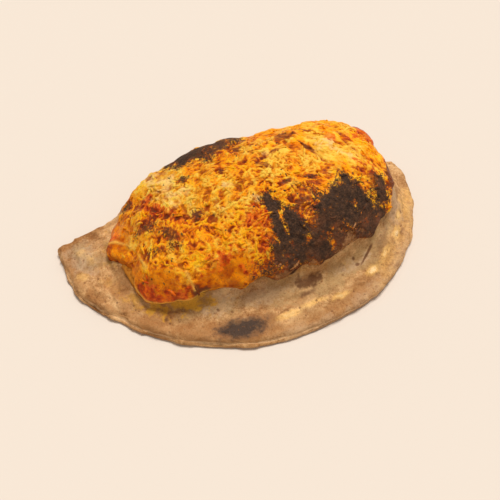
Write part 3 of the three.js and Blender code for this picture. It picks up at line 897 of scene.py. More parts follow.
# %% The sauce
SAUCE_STATIONS = 90
SAUCE_FURTHEST = 0.988
SAUCE_BUMPS = [(0.35, 5), (0.15, 2.2)]  # height and size


def sauce_relief(rings, normals, fields):
    """Soft low bumps; the sauce is all one level and shade."""
    points = rings.reshape(-1, 3)
    return layered(points, SAUCE_BUMPS, 51), np.ones(len(points)), np.ones(len(points))


plain_end = CHEESE_SHARE + sum_of_bells(rays.bearing, CHEESE_TUCKS)
sauce_end = plain_end + SAUCE_MARGIN + sum_of_bells(rays.bearing, SAUCE_RUNS)
sauce_end = np.minimum(SAUCE_FURTHEST, sauce_end + 0.5 * edge_wander(rays, 43))
sauce = topping("sauce_layer", rays, sauce_end, SAUCE_STATIONS, CLEARANCE, SAUCE_THICKNESS, 0,
                sauce_relief)

# %% [markdown]
# ## The dough
#
# The crust gets its colour from the oven and from the hand, and painted light and shade are laid
# on it too: it is brown where it stood up to the heat, grey-beige where flour stayed on the skirt,
# golden on the roll with cream painted highlights on its crest, sooty where it touched the oven
# floor, and stained where oil ran out of the cheese. Painted shade darkens the roll's outer slope
# and the dome's foot, and pale painted light lies on the outer rim and under the cheese's edge.
# Each of these is a list of patches like those of the toppings.

# %% Patches on the crust
TOAST_AND_SHADE_PATCHES = [
    (-147, -12, 3, 10, -10, 0.6), (-136, -24, 4, 4, 0, 0.5), (-142, -36, 4, 5, 0, 0.6),
    (-125, -33, 7, 4, -30, 0.5), (-108, -68, 8, 7, 0, 0.8), (-97, -90, 18, 9, -38, 0.95),
    (-110, -56, 5, 12, 25, 0.5), (-128, -52, 14, 4, -42, 0.5),
    (-64, -113, 28, 8, -18, 0.95), (4, -107, 24, 4, 3, 0.55), (15, -111, 12, 3.5, 3, 0.7),
    (-10, -118, 7, 5, 0, 0.8), (-20, -124, 34, 6, -4, 0.8), (30, -126, 30, 6, 6, 0.7),
    (70, -114, 26, 6, 28, 0.8), (120, -76, 24, 5, 55, 0.5), (144, -24, 24, 4, 85, 0.3),
    (-113, -60, 8, 14, 25, 0.8), (60, 34, 60, 12, 0, 0.5), (-60, 30, 50, 12, 0, 0.5),
    # The next four patches, on the outer slope of the roll at the right, are painted shade.
    (102, -92, 7, 5, 40, 0.8), (62, -113, 9, 4, 20, 0.7), (92, -100, 8, 3, 38, 0.7),
    (122, -66, 8, 3, 58, 0.6), (12, -121, 12, 3, 2, 0.6), (36, -121, 9, 3, 6, 0.6),
    (10, 14, 26, 7, 0, 0.7), (-40, 12, 16, 6, 0, 0.8), (84, 9, 20, 7, 0, 0.8),
    (30, 38, 22, 6, 0, 1.2), (-36, 34, 14, 7, 0, 1.2), (104, 33, 12, 8, 0, 1.1),
    (-84, 24, 12, 6, 0, 1.1), (72, 38, 12, 5, 0, 1),
]
FLOUR_AND_FOOT_SHADE = [
    # The patches along the dome's foot, near y of -100, darken the crust: grey-beige flour with
    # painted shade in the corner.
    (-112, -30, 8, 22, 0, 0.7), (-52, -96, 26, 8, -8, 0.9), (0, -102, 34, 8, 0, 0.75),
    (52, -100, 30, 8, 12, 1), (90, -80, 24, 9, 38, 0.9), (116, -48, 20, 6, 60, 0.4),
    (-132, -8, 12, 10, 0, 0.9), (-128, -24, 9, 9, 0, 0.8),
    (-62, 32, 12, 8, 0, 1), (0, 38, 12, 6, 0, 1), (54, 38, 8, 8, 0, 0.9), (88, 36, 7, 7, 0, 1),
]
GOLDEN_AND_HIGHLIGHTS = [
    # Golden crust, with painted highlights along the crest of the roll and on the lumps of the
    # tip, and painted light under the cheese's edge.
    (5, -117.5, 10, 2.4, 3, 0.95), (25, -115.5, 12, 2.2, 4, 0.85), (48, -115.5, 8, 2.2, 8, 1.1),
    (80, -102, 6, 2.6, 28, 1.2), (95, -92, 9, 3.2, 39, 1),
    (114, -75, 7, 3, 52, 1.2), (121, -61, 9, 2.8, 58, 0.9), (129, -47, 8, 2.6, 62, 0.8),
    (102, -92, 30, 9, 42, 0.5), (132, -54, 22, 8, 65, 0.7), (-40, -98, 11, 4, 0, 0.4),
    (-132, -13, 5, 3.5, 0, 0.6), (-127, -20, 6, 3, -40, 0.5),
    (-136, -34, 6, 4, -30, 0.6), (-123, -44, 6, 3, -40, 0.4),
]
SMUDGED = [
    (26, -98.5, 10, 3, 3, 1.05), (24, -106, 6, 2.6, 0, 0.7), (-21, -99, 9, 4, 0, 0.4),
    (68, -90, 1.6, 1.4, 0, 0.9),
    (80, -89, 8, 0.9, 42, 1), (70, -94, 1.4, 1.1, 0, 0.9), (0, -93, 22, 2.4, 0, 0.2),
    (-86, -92, 1.8, 1.3, 0, 0.8), (125, -58, 1.2, 3, -30, 0.6), (60, -92, 18, 2, 8, 0.35),
    (-110, -52, 4, 9, 20, 0.3), (34, 14, 13, 5, 0, 0.5), (-72, 8, 9, 4, 20, 0.45),
    (10, -96, 20, 4, 2, 0.3), (52, -94, 16, 4, 4, 0.35), (-34, -94, 12, 3, 0, 0.2),
    (-22, 38, 7, 5, 0, 0.7), (44, 40, 8, 5, 0, 0.8), (112, 30, 5, 6, 0, 0.6),
    (96, -82, 12, 3.5, 48, 0.5), (-54, -91, 7, 3, 0, 0.6), (114, -62, 3, 9, -15, 0.4),
]
PAINTED_BOUNCE_LIGHT = [  # pale grey-beige painted light: reflected light on the outer rim, and brightened shade under the cheese's edge
    (-40, -97, 12, 5, 0, 1), (-14, -99, 26, 4, 0, 0.6), (70, -94, 12, 4, 10, 0.8),
    (-134, -18, 12, 12, 0, 0.9), (20, -131, 30, 4, 4, 0.5), (66, -120, 26, 5, 26, 0.6),
    (104, -98, 26, 5, 44, 0.6), (132, -64, 22, 5, 62, 0.5), (121, -58, 6, 16, -30, 0.9),
    (100, -76, 10, 5, 45, 0.4),
]
SOOTY = [(-35, -117, 19, 7, -4, 1.35), (-33, -124, 11, 3, -5, 0.8)]
OILY = [
    (-64, -90, 15, 5, -12, 0.9), (-92, -82, 9, 5, -38, 0.8), (-116, -48, 6, 12, 10, 0.25),
    (-112, -20, 5, 16, 0, 0.4), (-106, -68, 5, 10, 30, 0.5), (20, -93, 30, 3, 0, 0.3),
]


def crust_fields(points):
    """The named fields of the crust at each point."""
    return {
        "toasted": patches_at(points, TOAST_AND_SHADE_PATCHES, 0.5, 14, 0.9, 61),
        "floury": patches_at(points, FLOUR_AND_FOOT_SHADE, 0.5, 12, 0.9, 64),
        "golden": patches_at(points, GOLDEN_AND_HIGHLIGHTS, 0.35, 9, 0.95, 67),
        "dusty": patches_at(points, PAINTED_BOUNCE_LIGHT, 0.5, 8, 0.95, 79),
        "smudged": patches_at(points, SMUDGED, 0.35, 6, 0.8, 70),
        "sooty": patches_at(points, SOOTY, 0.18, 6, 0.95, 76),
        "oily": patches_at(points, OILY, 0.55, 6, 0.7, 73),
    }


CRUST_PATCHES = (TOAST_AND_SHADE_PATCHES, FLOUR_AND_FOOT_SHADE, GOLDEN_AND_HIGHLIGHTS, SMUDGED, PAINTED_BOUNCE_LIGHT, SOOTY, OILY)
print(sum(len(patches) for patches in CRUST_PATCHES), "patches on the crust")

# %% [markdown]
# Baking leaves low blisters, shallow wrinkles and, near the rim, small burst bubbles. The left
# tip is more wrinkled than the rest and has a few lumps. All of these move the skin in or out
# along its normals.

# %% Relief of the crust
PIT_COUNT = 170
PIT_SIZE = (0.5, 1.3)
PIT_DEPTH = 0.7
PIT_INSET = (4, 30)  # from the rim
PIT_CROWDING = 1.5  # the higher, the more of them at the left
RIM_SPOTS = 300
SWELL_HEIGHT = 0.9
BLISTERS = [(0.6, 8), (0.3, 4), (0.12, 1.8)]  # height and size
WRINKLE_HEIGHTS = (0.2, 0.75)  # along the skirt and at the tip
TIP_FROM, TIP_TO = -95, -120  # places along X where the left tip begins and is all tip
TIP_LUMPS = [
    (-132, -13, 6, 4, 0, 1.5), (-126, -21, 7, 4, -40, 1.3), (-136, -34, 7, 5, -30, 1.5),
    (-120, -47, 9, 5, -40, 1.2), (-145, -12, 4, 9, -10, -0.8), (-129, -30, 6, 3, -40, -1.2),
]


def pits_at(points, seed=5):
    """Depth of small burst bubbles, most of them along the front rim."""
    draw = np.random.default_rng(seed)
    rim_rays = Rays(RIM_SPOTS, 100)
    depth = np.zeros(len(points))
    spots = (RIM_SPOTS * draw.uniform(0.05, 1, PIT_COUNT) ** PIT_CROWDING).astype(int)
    inset = draw.uniform(*PIT_INSET, PIT_COUNT)
    radii = draw.uniform(*PIT_SIZE, PIT_COUNT)
    strengths = draw.uniform(0.4, 1, PIT_COUNT)
    for spot, back, radius, strength in zip(spots, inset, radii, strengths):
        away = rim_rays.rim[spot] - back
        x = MIDDLE_X + rim_rays.dx[spot] * away
        y = MIDDLE_Y + rim_rays.dy[spot] * away
        near = np.hypot(points[:, 0] - x, points[:, 1] - y)
        depth = np.maximum(depth, strength * bell(near, radius))
    return depth


def crust_relief(points):
    """Swells, blisters, wrinkles and lumps of the baked crust, in mm."""
    tip = step(TIP_FROM, TIP_TO, points[:, 0])
    swells = SWELL_HEIGHT * (1 + tip) * noise(points, 16, 80)
    folds = 1 - 2 * np.abs(noise(points * [1, 1, 0.5], 6, 84))
    lumps = lumps_at(points[:, 0], points[:, 1], TIP_LUMPS)
    return swells + layered(points, BLISTERS, 81) + mix(*WRINKLE_HEIGHTS, tip) * folds + lumps


print(PIT_COUNT, "pits and", len(TIP_LUMPS), "lumps at the tip")

# %% [markdown]
# The crust is one skin over dome, skirt, rim and base. Its stations crowd where it shows and are
# few under the toppings. Dough can't hold a sharp inner corner, so the rings near the dome's
# foot are averaged with their neighbours a few times.

# %% Rings of the crust
HIDDEN_SHARES = np.linspace(0.15, 0.8, 6)  # stations of the dome under the toppings
FOOT_SHARES = np.linspace(0.84, 1, 16)
SKIRT_STATIONS, RIM_STATIONS, UNDER_STATIONS = 81, 24, 12
FOOT_SMOOTHING = 14  # times
SMOOTHED_INSIDE, SMOOTHED_OUTSIDE = 10, 16  # stations on each side of the foot
BASE_SHARES = np.array([0.75, 0.5, 0.25])


def stations_to_one(count):
    return column(np.linspace(0, 1, count + 1)[1:])


crust_rays = Rays(420, 200)
dome_shares = np.concatenate([HIDDEN_SHARES, FOOT_SHARES])
crust_rings = np.concatenate([
    dome_points(crust_rays, column(dome_shares)),
    outer_points(crust_rays, stations_to_one(SKIRT_STATIONS), stations_to_one(RIM_STATIONS),
                 stations_to_one(UNDER_STATIONS))])
first = len(dome_shares) - 1 - SMOOTHED_INSIDE
last = len(dome_shares) - 1 + SMOOTHED_OUTSIDE
for _ in range(FOOT_SMOOTHING):
    neighbours = crust_rings[first - 1:last - 1] + crust_rings[first + 1:last + 1]
    crust_rings[first:last] = 0.5 * crust_rings[first:last] + 0.25 * neighbours
crust_top = dome_points(crust_rays, column([0.0]))[0, 0]
crust_normals = outward(crust_rings, crust_top)
print("crust:", crust_rings.shape[0], "rings of", crust_rings.shape[1], "points")

# %% [markdown]
# Relief and colour fields are worked out on the plain rings, and the base is closed by three
# smaller rings and a pole. Three more marks follow the form itself: the tip's hollows are darkened
# as painted shade, a browner band follows the rim, and the seam shows as a pale line along the
# front, a paler lip with a painted highlight.

# %% The crust
TIP_HOLLOW_SHADE = 0.7
BAND_INSET, BAND_WIDTH, BAND_TOAST = 6, 7, 0.75
BAND_LEFT_ON_RIGHT = 0.3  # share of the band's strength at the right end
SEAM_ROWS = (10, 13)  # the rim stations round the seam, from the first to past the last

flat_rings = crust_rings.reshape(-1, 3)
ring_x, ring_z = flat_rings[:, 0], flat_rings[:, 2]
relief = crust_relief(flat_rings)
pits = pits_at(flat_rings) * step(3, 6, ring_z)
lift = (relief - PIT_DEPTH * pits) * step(0, 4, ring_z)
shaped = crust_rings + crust_normals * lift.reshape(crust_rings.shape[:2])[..., None]
base_center = np.array([MIDDLE_X, MIDDLE_Y, 0.0])
base_rings = mix(base_center, shaped[-1], BASE_SHARES[:, None, None])


def with_base(values):
    """Adds zeros for the points of the base."""
    return np.concatenate([values, np.zeros(base_rings[..., 0].size)])


marks = crust_fields(np.concatenate([flat_rings, base_rings.reshape(-1, 3)]))
# The tip's hollows are darkened by their depth: painted shade in the wrinkles.
hollows = TIP_HOLLOW_SHADE * step(0.1, -1.6, relief) * step(-80, -110, ring_x)
from_rim = np.tile(crust_rays.rim, len(crust_rings)) - np.hypot(ring_x - MIDDLE_X,
                                                               flat_rings[:, 1] - MIDDLE_Y)
broken = 1 - 0.6 * bell(noise(flat_rings, 14, 87), 0.35)
fading = mix(1, BAND_LEFT_ON_RIGHT, step(70, 120, ring_x))
band = BAND_TOAST * bell(from_rim - BAND_INSET, BAND_WIDTH) * broken * fading
marks["toasted"] = np.maximum(marks["toasted"], with_base(np.maximum(hollows, band)))
# A pale line along the front seam: the paler lower lip, with a painted highlight along it.
seam_line = np.zeros(crust_rings.shape[:2])
seam_rows = slice(*(len(dome_shares) + SKIRT_STATIONS + row for row in SEAM_ROWS))
seam_line[seam_rows] = step(0.2, -0.1, crust_rays.dy)
marks["pit"] = with_base(pits)
marks["seam_line"] = with_base(seam_line.ravel())
for mark, values in marks.items():
    marks[mark] = np.concatenate([values[:1], values, values[-1:]])
points, quads, triangles = skin(np.concatenate([shaped, base_rings]), crust_top, base_center)
crust = make_piece("crust", points, quads, triangles, marks)

# %% [markdown]
# ## Node trees
#
# Shreds, herbs and cinders are made by Geometry Nodes, and every finish is a tree of shader
# nodes. Both kinds of tree are built by a script in the same way, so they share one helper. Its
# `Wave` is a node's output that varies from place to place and can be added to and scaled like a
# number, so the recipes below read like sums.

# %% Helpers for node trees


class Wave:
    """A node's output that can be added to, taken away from and scaled."""

    def __init__(self, nodes, socket):
        self.nodes, self.socket = nodes, socket

    def __add__(self, other):
        return self.nodes.math("ADD", self, other)

    def __sub__(self, other):
        return self.nodes.math("SUBTRACT", self, other)

    def __rsub__(self, other):
        return self.nodes.math("SUBTRACT", other, self)

    def __mul__(self, other):
        return self.nodes.math("MULTIPLY", self, other)

    __radd__, __rmul__ = __add__, __mul__


class Nodes:
    """A node tree under construction."""

    def __init__(self, tree):
        self.tree = tree

    def feed(self, socket, source):
        """Feeds a socket from a wave, another node's socket or a plain value."""
        if isinstance(source, Wave):
            source = source.socket
        if isinstance(source, bpy.types.NodeSocket):
            self.tree.links.new(source, socket)
        elif isinstance(source, tuple) and len(socket.default_value) > len(source):
            socket.default_value = (*source, 1)  # an opaque colour
        else:
            socket.default_value = source

    def node(self, kind, feeds, **settings):
        made = self.tree.nodes.new(kind)
        for key, value in settings.items():
            setattr(made, key, value)
        for key, source in feeds.items():
            self.feed(made.inputs[key], source)
        return made

    def wave(self, kind, feeds, **settings):
        """The first output of a new node."""
        return Wave(self, self.node(kind, feeds, **settings).outputs[0])

    def math(self, operation, a, b):
        return self.wave("ShaderNodeMath", {0: a, 1: b}, operation=operation)


print("node helpers:", Wave.__name__, "and", Nodes.__name__)

# %% [markdown]
# A Geometry Nodes tree gets named inputs, so that its sizes can be set on the modifier by each
# input's identifier. Both trees below start by scattering points where a field on the sheet
# allows, and end by making the copies real and giving them their finish. `grow` runs a tree on a
# second object with the sheet's mesh, keeps the result as a plain mesh, and drops that object
# with its modifier.

# %% Helpers for Geometry Nodes


class Growth(Nodes):
    """A Geometry Nodes tree with named inputs that scatters things on a sheet."""

    def __init__(self, name, inputs):
        super().__init__(bpy.data.node_groups.new(name, "GeometryNodeTree"))
        face = self.tree.interface
        face.new_socket("Geometry", in_out="INPUT", socket_type="NodeSocketGeometry")
        self.identifiers = {}
        for label, (kind, value) in inputs.items():
            socket = face.new_socket(label, in_out="INPUT", socket_type="NodeSocket" + kind)
            if value is not None:
                socket.default_value = value
            self.identifiers[label] = socket.identifier
        face.new_socket("Geometry", in_out="OUTPUT", socket_type="NodeSocketGeometry")
        self.start = self.tree.nodes.new("NodeGroupInput")
        self.end = self.tree.nodes.new("NodeGroupOutput")
        self.sheet = self.input("Geometry")

    def input(self, label):
        return Wave(self, self.start.outputs[label])

    def field(self, name):
        return self.wave("GeometryNodeInputNamedAttribute", {"Name": name})

    def random(self, low, high, seed, kind="FLOAT"):
        made = self.node("FunctionNodeRandomValue", {"Seed": seed}, data_type=kind)
        lowest, outlet = {"FLOAT_VECTOR": (0, 0), "FLOAT": (2, 1), "INT": (4, 2)}[kind]
        made.inputs[lowest].default_value = low
        made.inputs[lowest + 1].default_value = high
        return Wave(self, made.outputs[outlet])

    def scaled(self, vector, factor):
        return self.wave("ShaderNodeVectorMath", {0: vector, "Scale": factor}, operation="SCALE")

    def scatter(self, field, turn):
        """Random points on the sheet where a field allows, and their turned rotations."""
        spread = self.node("GeometryNodeDistributePointsOnFaces", {
            "Mesh": self.sheet, "Density": self.field(field) * self.input("Count per m2"),
            "Seed": self.input("Seed")}, distribute_method="RANDOM")
        rotation = self.wave("FunctionNodeRotateRotation", {
            "Rotation": spread.outputs["Rotation"], "Rotate By": turn}, rotation_space="LOCAL")
        return spread.outputs["Points"], rotation

    def finish(self, geometry):
        """Makes the copies real and gives them their material."""
        real = self.wave("GeometryNodeRealizeInstances", {0: geometry})
        dressed = self.wave("GeometryNodeSetMaterial", {
            "Geometry": real, "Material": self.input("Finish")})
        self.feed(self.end.inputs["Geometry"], dressed)


def grow(name, growth, sheet, sizes, finish):
    """Runs a tree on the sheet's mesh and returns what it made as a piece with a plain mesh."""
    carrier = bpy.data.objects.new(name + "_carrier", sheet.data)
    scene.collection.objects.link(carrier)
    modifier = carrier.modifiers.new(name, "NODES")
    modifier.node_group = growth.tree
    for label, value in (*sizes.items(), ("Finish", finish.material)):
        modifier[growth.identifiers[label]] = value
    bpy.context.view_layer.update()
    graph = bpy.context.evaluated_depsgraph_get()
    mesh = bpy.data.meshes.new_from_object(carrier.evaluated_get(graph))
    bpy.data.objects.remove(carrier)
    mesh.name = name
    piece = bpy.data.objects.new(name, mesh)
    scene.collection.objects.link(piece)
    mesh.calc_loop_triangles()
    print(name, "has", len(mesh.loop_triangles), "triangles")
    return piece


print("growth helpers:", Growth.__name__, "and", grow.__name__)

# %% [markdown]
# ## Finishes
#
# Each finish reads the named fields on the mesh and noise in object coordinates, so nothing
# slides when the view turns. `rise` and `ramp` turn a wave into a share or a colour, and `lay`
# puts a tint over a colour where a wave is high, as an oven or a hand does.

# %% Helpers for finishes


class Finish(Nodes):
    """A material under construction; plain values go on the shader's own sockets."""

    def __init__(self, name, **sockets):
        self.material = bpy.data.materials.new(name)
        self.material.use_nodes = True
        super().__init__(self.material.node_tree)
        self.shader = self.tree.nodes["Principled BSDF"]
        for label, value in sockets.items():
            self.shader.inputs[label.replace("_", " ")].default_value = value
        self.place = self.node("ShaderNodeTexCoord", {}).outputs["Object"]

    def field(self, name):
        made = self.node("ShaderNodeAttribute", {}, attribute_name=name)
        return Wave(self, made.outputs["Fac"])

    def drawn_out(self, way, stretch):
        """Object coordinates in which noise comes out longer along a direction seen from above."""
        return self.wave("ShaderNodeMapping", {
            "Vector": self.place, "Rotation": (0, 0, math.atan2(way[1], way[0])),
            "Scale": (stretch, 1, 1)}, vector_type="TEXTURE")

    def noise(self, size, detail=3.0, rough=0.55, distortion=0.0, place=None):
        """Noise with bumps of about `size` mm."""
        return self.wave("ShaderNodeTexNoise", {
            "Scale": 1000 / size, "Detail": detail, "Roughness": rough,
            "Distortion": distortion, "Vector": place or self.place})

    def rise(self, wave, low, high, to_low=0.0, to_high=1.0):
        """Smooth rise of the wave from to_low at low to to_high at high."""
        return self.wave("ShaderNodeMapRange", dict(enumerate(
            (wave, low, high, to_low, to_high))), interpolation_type="SMOOTHSTEP")

    def blend(self, share, under, over, kind="MIX"):
        made = self.node("ShaderNodeMix", {"Factor": share, 6: under, 7: over},
                         data_type="RGBA", blend_type=kind)
        return Wave(self, made.outputs[2])

    def lay(self, color, tint, wave, low, high, most=1.0, kind="MIX"):
        """Lays a tint over a colour: nothing where the wave is low, most where it is high."""
        return self.blend(self.rise(wave, low, high, 0, most), color, tint, kind)

    def ramp(self, wave, stops):
        """Colour along a few stops, each with its place from 0 to 1."""
        made = self.node("ShaderNodeValToRGB", {0: wave})
        bar = made.color_ramp.elements
        while len(bar) < len(stops):
            bar.new(0.5)
        for element, (place, color) in zip(bar, stops):
            element.position = place
            element.color = (*color, 1)
        return Wave(self, made.outputs[0])

    def dress(self, color, roughness=None):
        """Gives the shader its colour and, where it varies, its roughness."""
        self.feed(self.shader.inputs["Base Color"], color)
        if roughness:
            self.feed(self.shader.inputs["Roughness"], roughness)

    def bump(self, height, depth, strength):
        """Fine relief of that depth in mm."""
        self.feed(self.shader.inputs["Normal"], self.wave("ShaderNodeBump", {
            "Strength": strength, "Distance": depth * MM, "Height": height}))


print("finish helper:", Finish.__name__)

# %% [markdown]
# ### Cheese
#
# Young cheese bakes from pale yellow through gold to orange, takes red from the sauce below it,
# and burns to a leathery near black. The same recipe colours the sheet and the shreds. On the
# sheet the hollows between the curls are darker, partly from the oil and browning that collect
# there and partly as painted shade.

# %% Colours of the cheese
ORANGE = [(0.0, (0.26, 0.035, 0.0)), (0.22, (0.66, 0.125, 0.0)), (0.55, (0.98, 0.31, 0.0)),
          (1.0, (1.0, 0.51, 0.008))]  # from the hollows to the tops
YELLOW = [(0.0, (0.46, 0.12, 0.002)), (0.35, (0.82, 0.32, 0.006)), (1.0, (1.0, 0.66, 0.085))]
TOMATO = [(0.0, (0.26, 0.014, 0.001)), (0.5, (0.60, 0.052, 0.002)), (1.0, (0.90, 0.19, 0.008))]
AMBER = [(0.36, (0.42, 0.07, 0.0)), (0.62, (0.82, 0.235, 0.0))]
BURNT = [(0.38, (0.018, 0.010, 0.007)), (0.52, (0.060, 0.030, 0.017)),
         (0.66, (0.150, 0.068, 0.032))]
LEATHER = [(0.35, (0.075, 0.025, 0.011)), (0.65, (0.21, 0.080, 0.034))]
CRUST_BELOW = [(0.35, (0.22, 0.085, 0.024)), (0.65, (0.50, 0.25, 0.10))]
CREAM = (0.98, 0.64, 0.22)
STRING_YELLOW = (0.92, 0.50, 0.08)
OIL_AND_HOLLOW_SHADE = (0.62, 0.34, 0.3)  # multiplies what it lies on
BROWN = (0.13, 0.035, 0.008)
SINGED = (0.13, 0.038, 0.012)
SHRED_LEVEL = 0.85  # a loose shred lies nearly as high as the tops of the sheet
print("tops of the cheese:", ORANGE[-1][1], "and burnt:", BURNT[0][1])

# %% [markdown]
# The recipe lays one thing over another, as the oven did. First comes the tone of each curl, from
# its height and its own shade; the lower the face lies, the darker it is, which is painted shade
# in the hollows. Then the pale, smooth, saucy, browned and bare places follow, and char comes
# last, because it covers all. Noise frays every edge, and is made calmer where the cheese ran into
# a film. On the right the streaks are drawn out along the strands.

# %% The cheese finishes


def cheese_finish(name, on_sheet):
    """The material of the melted sheet or of the loose shreds."""
    finish = Finish(name, IOR=1.42, Specular_IOR_Level=0.17, Subsurface_Weight=0.08,
                    Subsurface_Scale=0.6, Subsurface_Radius=(0.004, 0.0016, 0.0005))
    field, rise, lay, ramp = finish.field, finish.rise, finish.lay, finish.ramp
    film, scorch, browned = field("film"), field("scorch"), field("browned")
    broad = finish.noise(15, 2)
    middle = finish.noise(6, 3, 0.6, 1.2)
    fine = finish.noise(1.3, 3, 0.7, 0.6)
    combed = rise(finish.wave("ShaderNodeSeparateXYZ", {0: finish.place}), 0, 0.06)
    streak = finish.blend(combed, finish.noise(3, 3, 0.65, 2), finish.noise(
        2.4, 3, 0.6, 0.5, finish.drawn_out(COMBED_WAY, 4.5)))
    calm = rise(film, 0, 1, 1, 0.25)
    calm_streak = (streak - 0.5) * calm + 0.5
    calm_fine = (fine - 0.5) * calm + 0.5

    # The tone follows the height of the face, so the hollows come out darker: painted shade,
    # together with the oil there.
    level = field("level") if on_sheet else SHRED_LEVEL
    tone = rise(0.34 * level + 0.26 * field("shade") + 0.55 * middle + 0.4 * calm_streak
                + 0.7 * (finish.noise(11, 2, 0.5, 0.5) - 0.5), 0.44, 1.24)
    pale = (field("pale") + 0.35 * rise(broad, 0.35, 0.65)
            + rise(finish.noise(7.5, 2, 0.5, 0.8), 0.35, 0.7, -0.15, 0.4))
    color = lay(ramp(tone, ORANGE), ramp(tone, YELLOW), pale, 0.05, 1.05)
    color = lay(color, CREAM, pale, 1.2, 2.2, 0.8)
    color = finish.blend(0.88 * film, color, ramp(finish.noise(10, 2, 0.5, 0.8), AMBER))
    saucy = field("saucy") + rise(finish.noise(8.5, 3, 0.6, 1), 0.38, 0.68, -0.3, 0.4)
    color = lay(color, ramp(tone, TOMATO), saucy, 0.25, 0.85, 0.9)
    # A low tone adds to this darkening: painted shade in the hollows, besides the real browning
    # and oil.
    brown = 0.8 * browned + 0.85 * calm_streak + 0.35 * calm_fine - 0.35 * tone
    color = lay(color, OIL_AND_HOLLOW_SHADE, brown, 0.56, 0.95, kind="MULTIPLY")
    color = lay(color, BROWN, brown, 0.75, 1.15, 0.85)
    if on_sheet:
        color = finish.blend(field("string"), color, STRING_YELLOW)
    bare = field("bare") + 0.9 * (fine - 0.5)
    color = lay(color, ramp(streak, CRUST_BELOW), bare, 0.25, 0.8, 0.9)

    fraying = 0.65 * rise(fine, 0.36, 0.64, -0.5, 0.5) + 0.6 * (streak - 0.5)
    loose = finish.math("MAXIMUM", rise(scorch, 0, 0.25), rise(combed, 0, 1, 0.8, 0.4))
    char = scorch + fraying * loose
    black = ramp(0.5 * fine + 0.5 * finish.noise(4.5, 4, 0.7), BURNT)
    leathery = 0.42 * browned + (broad - 0.5)
    black = lay(black, ramp(fine, LEATHER), leathery, 0.05, 0.6, 0.85)
    color = lay(color, SINGED, char, 0.05, 0.5, 0.85)
    color = lay(color, black, char, 0.35, 0.8)
    finish.dress(color, rise(fine + 0.6 * scorch - 0.2 * film, 0.2, 1.1, 0.16, 0.7))
    finish.bump((fine + 1.6 * streak) * rise(film, 0, 1, 1, 0.35), 0.9, 0.7)
    print(name, "has", len(finish.tree.nodes), "nodes")
    return finish


sheet_finish = cheese_finish("melted cheese", True)
shred_finish = cheese_finish("cheese shreds", False)
cheese.data.materials.append(sheet_finish.material)

# %% [markdown]
# ### Sauce
#
# Cooked tomato is a dark orange red, glossy with oil, with small paler bits. Under the smooth
# film of cheese it is mostly oil, and where the cheese burnt it is dark too.

# %% The sauce finish
PULP = [(0.36, (0.20, 0.018, 0.002)), (0.5, (0.50, 0.065, 0.006)), (0.64, (0.74, 0.20, 0.012))]
OIL = [(0.35, (0.32, 0.09, 0.004)), (0.65, (0.62, 0.24, 0.02))]
BURNT_SAUCE = (0.07, 0.032, 0.016)

tomato = Finish("tomato sauce", IOR=1.4, Specular_IOR_Level=0.2)
bits = tomato.noise(2.6, 3, 0.6, 0.4)
red = tomato.ramp(0.5 * bits + 0.5 * tomato.noise(9, 4, 0.65, 0.8), PULP)
color = tomato.lay(tomato.ramp(bits, OIL), red, tomato.field("film"), 0.7, 0.2)
dark = tomato.field("scorch") + 0.6 * tomato.field("browned") + 0.8 * (bits - 0.5)
color = tomato.lay(color, BURNT_SAUCE, dark, 0.1, 0.6)
tomato.dress(color, tomato.rise(bits, 0.3, 0.8, 0.25, 0.55))
tomato.bump(bits, 0.6, 0.5)
sauce.data.materials.append(tomato.material)
print("tomato sauce has", len(tomato.tree.nodes), "nodes")

# %% [markdown]
# ### Crust
#
# Baked dough is a patchwork: tan skin, brown where it stood up to the heat, grey-beige where flour
# stayed on it, golden on the roll with cream painted highlights, smudges of soot from the oven
# floor, and a yellow stain of oil round the cheese. Painted shade also darkens the outer slope of
# the roll, the foot of the dome and the tip's hollows, painted light brightens the outer rim and
# the crust under the cheese's edge, and a painted highlight runs along the seam. Each field lays
# its own tint over the rest, and noise frays its edge. Fine grain and pits carry on where the mesh
# leaves off.

# %% The crust finish
TAN = [(0.40, (0.29, 0.118, 0.033)), (0.5, (0.56, 0.292, 0.112)), (0.60, (0.90, 0.565, 0.265))]
LIGHT_GRAIN, DARK_GRAIN = (0.85, 0.58, 0.30), (0.60, 0.46, 0.36)
# The toast and flour tints also carry painted shade, the pale grey-beige is painted light, and the
# gold and cream carry painted highlights.
TOAST_AND_SHADE_TINT, FLOUR_AND_SHADE_TINT, PAINTED_BOUNCE_TINT = (0.36, 0.145, 0.038), (0.41, 0.248, 0.10), (0.62, 0.43, 0.27)
GOLD_AND_HIGHLIGHT, CREAM_HIGHLIGHT = (0.98, 0.57, 0.17), (1.0, 0.78, 0.46)
SEAM_HIGHLIGHT, OIL_STAIN = (0.86, 0.55, 0.28), (0.70, 0.34, 0.016)
SMUDGE, SOOT_EDGE, SOOT = (0.155, 0.060, 0.022), (0.27, 0.125, 0.055), (0.066, 0.042, 0.031)
SPECK, PIT_SHADE = (0.24, 0.10, 0.035), (0.20, 0.085, 0.032)

bread = Finish("baked crust", IOR=1.4, Specular_IOR_Level=0.3, Subsurface_Weight=0.05,
               Subsurface_Radius=(0.003, 0.0015, 0.0008))
patchy = bread.noise(7.5, 4, 0.65, 0.6)
speckle = bread.noise(2.2, 4, 0.8)
mottle = 0.5 * patchy + 0.5 * speckle
grain = bread.noise(1.2, 3, 0.7)
blot, fleck = mottle - 0.5, speckle - 0.5
read, lay = bread.field, bread.lay

color = bread.ramp(0.35 * bread.noise(24, 3, 0.5, 0.3) + 0.65 * mottle, TAN)
color = lay(color, LIGHT_GRAIN, grain, 0.56, 0.72, 0.35)
# Browned crust, with painted shade on the roll's outer slope and in the tip's hollows.
color = lay(color, TOAST_AND_SHADE_TINT, read("toasted") + 1.6 * blot, 0.1, 1.1, 0.8)
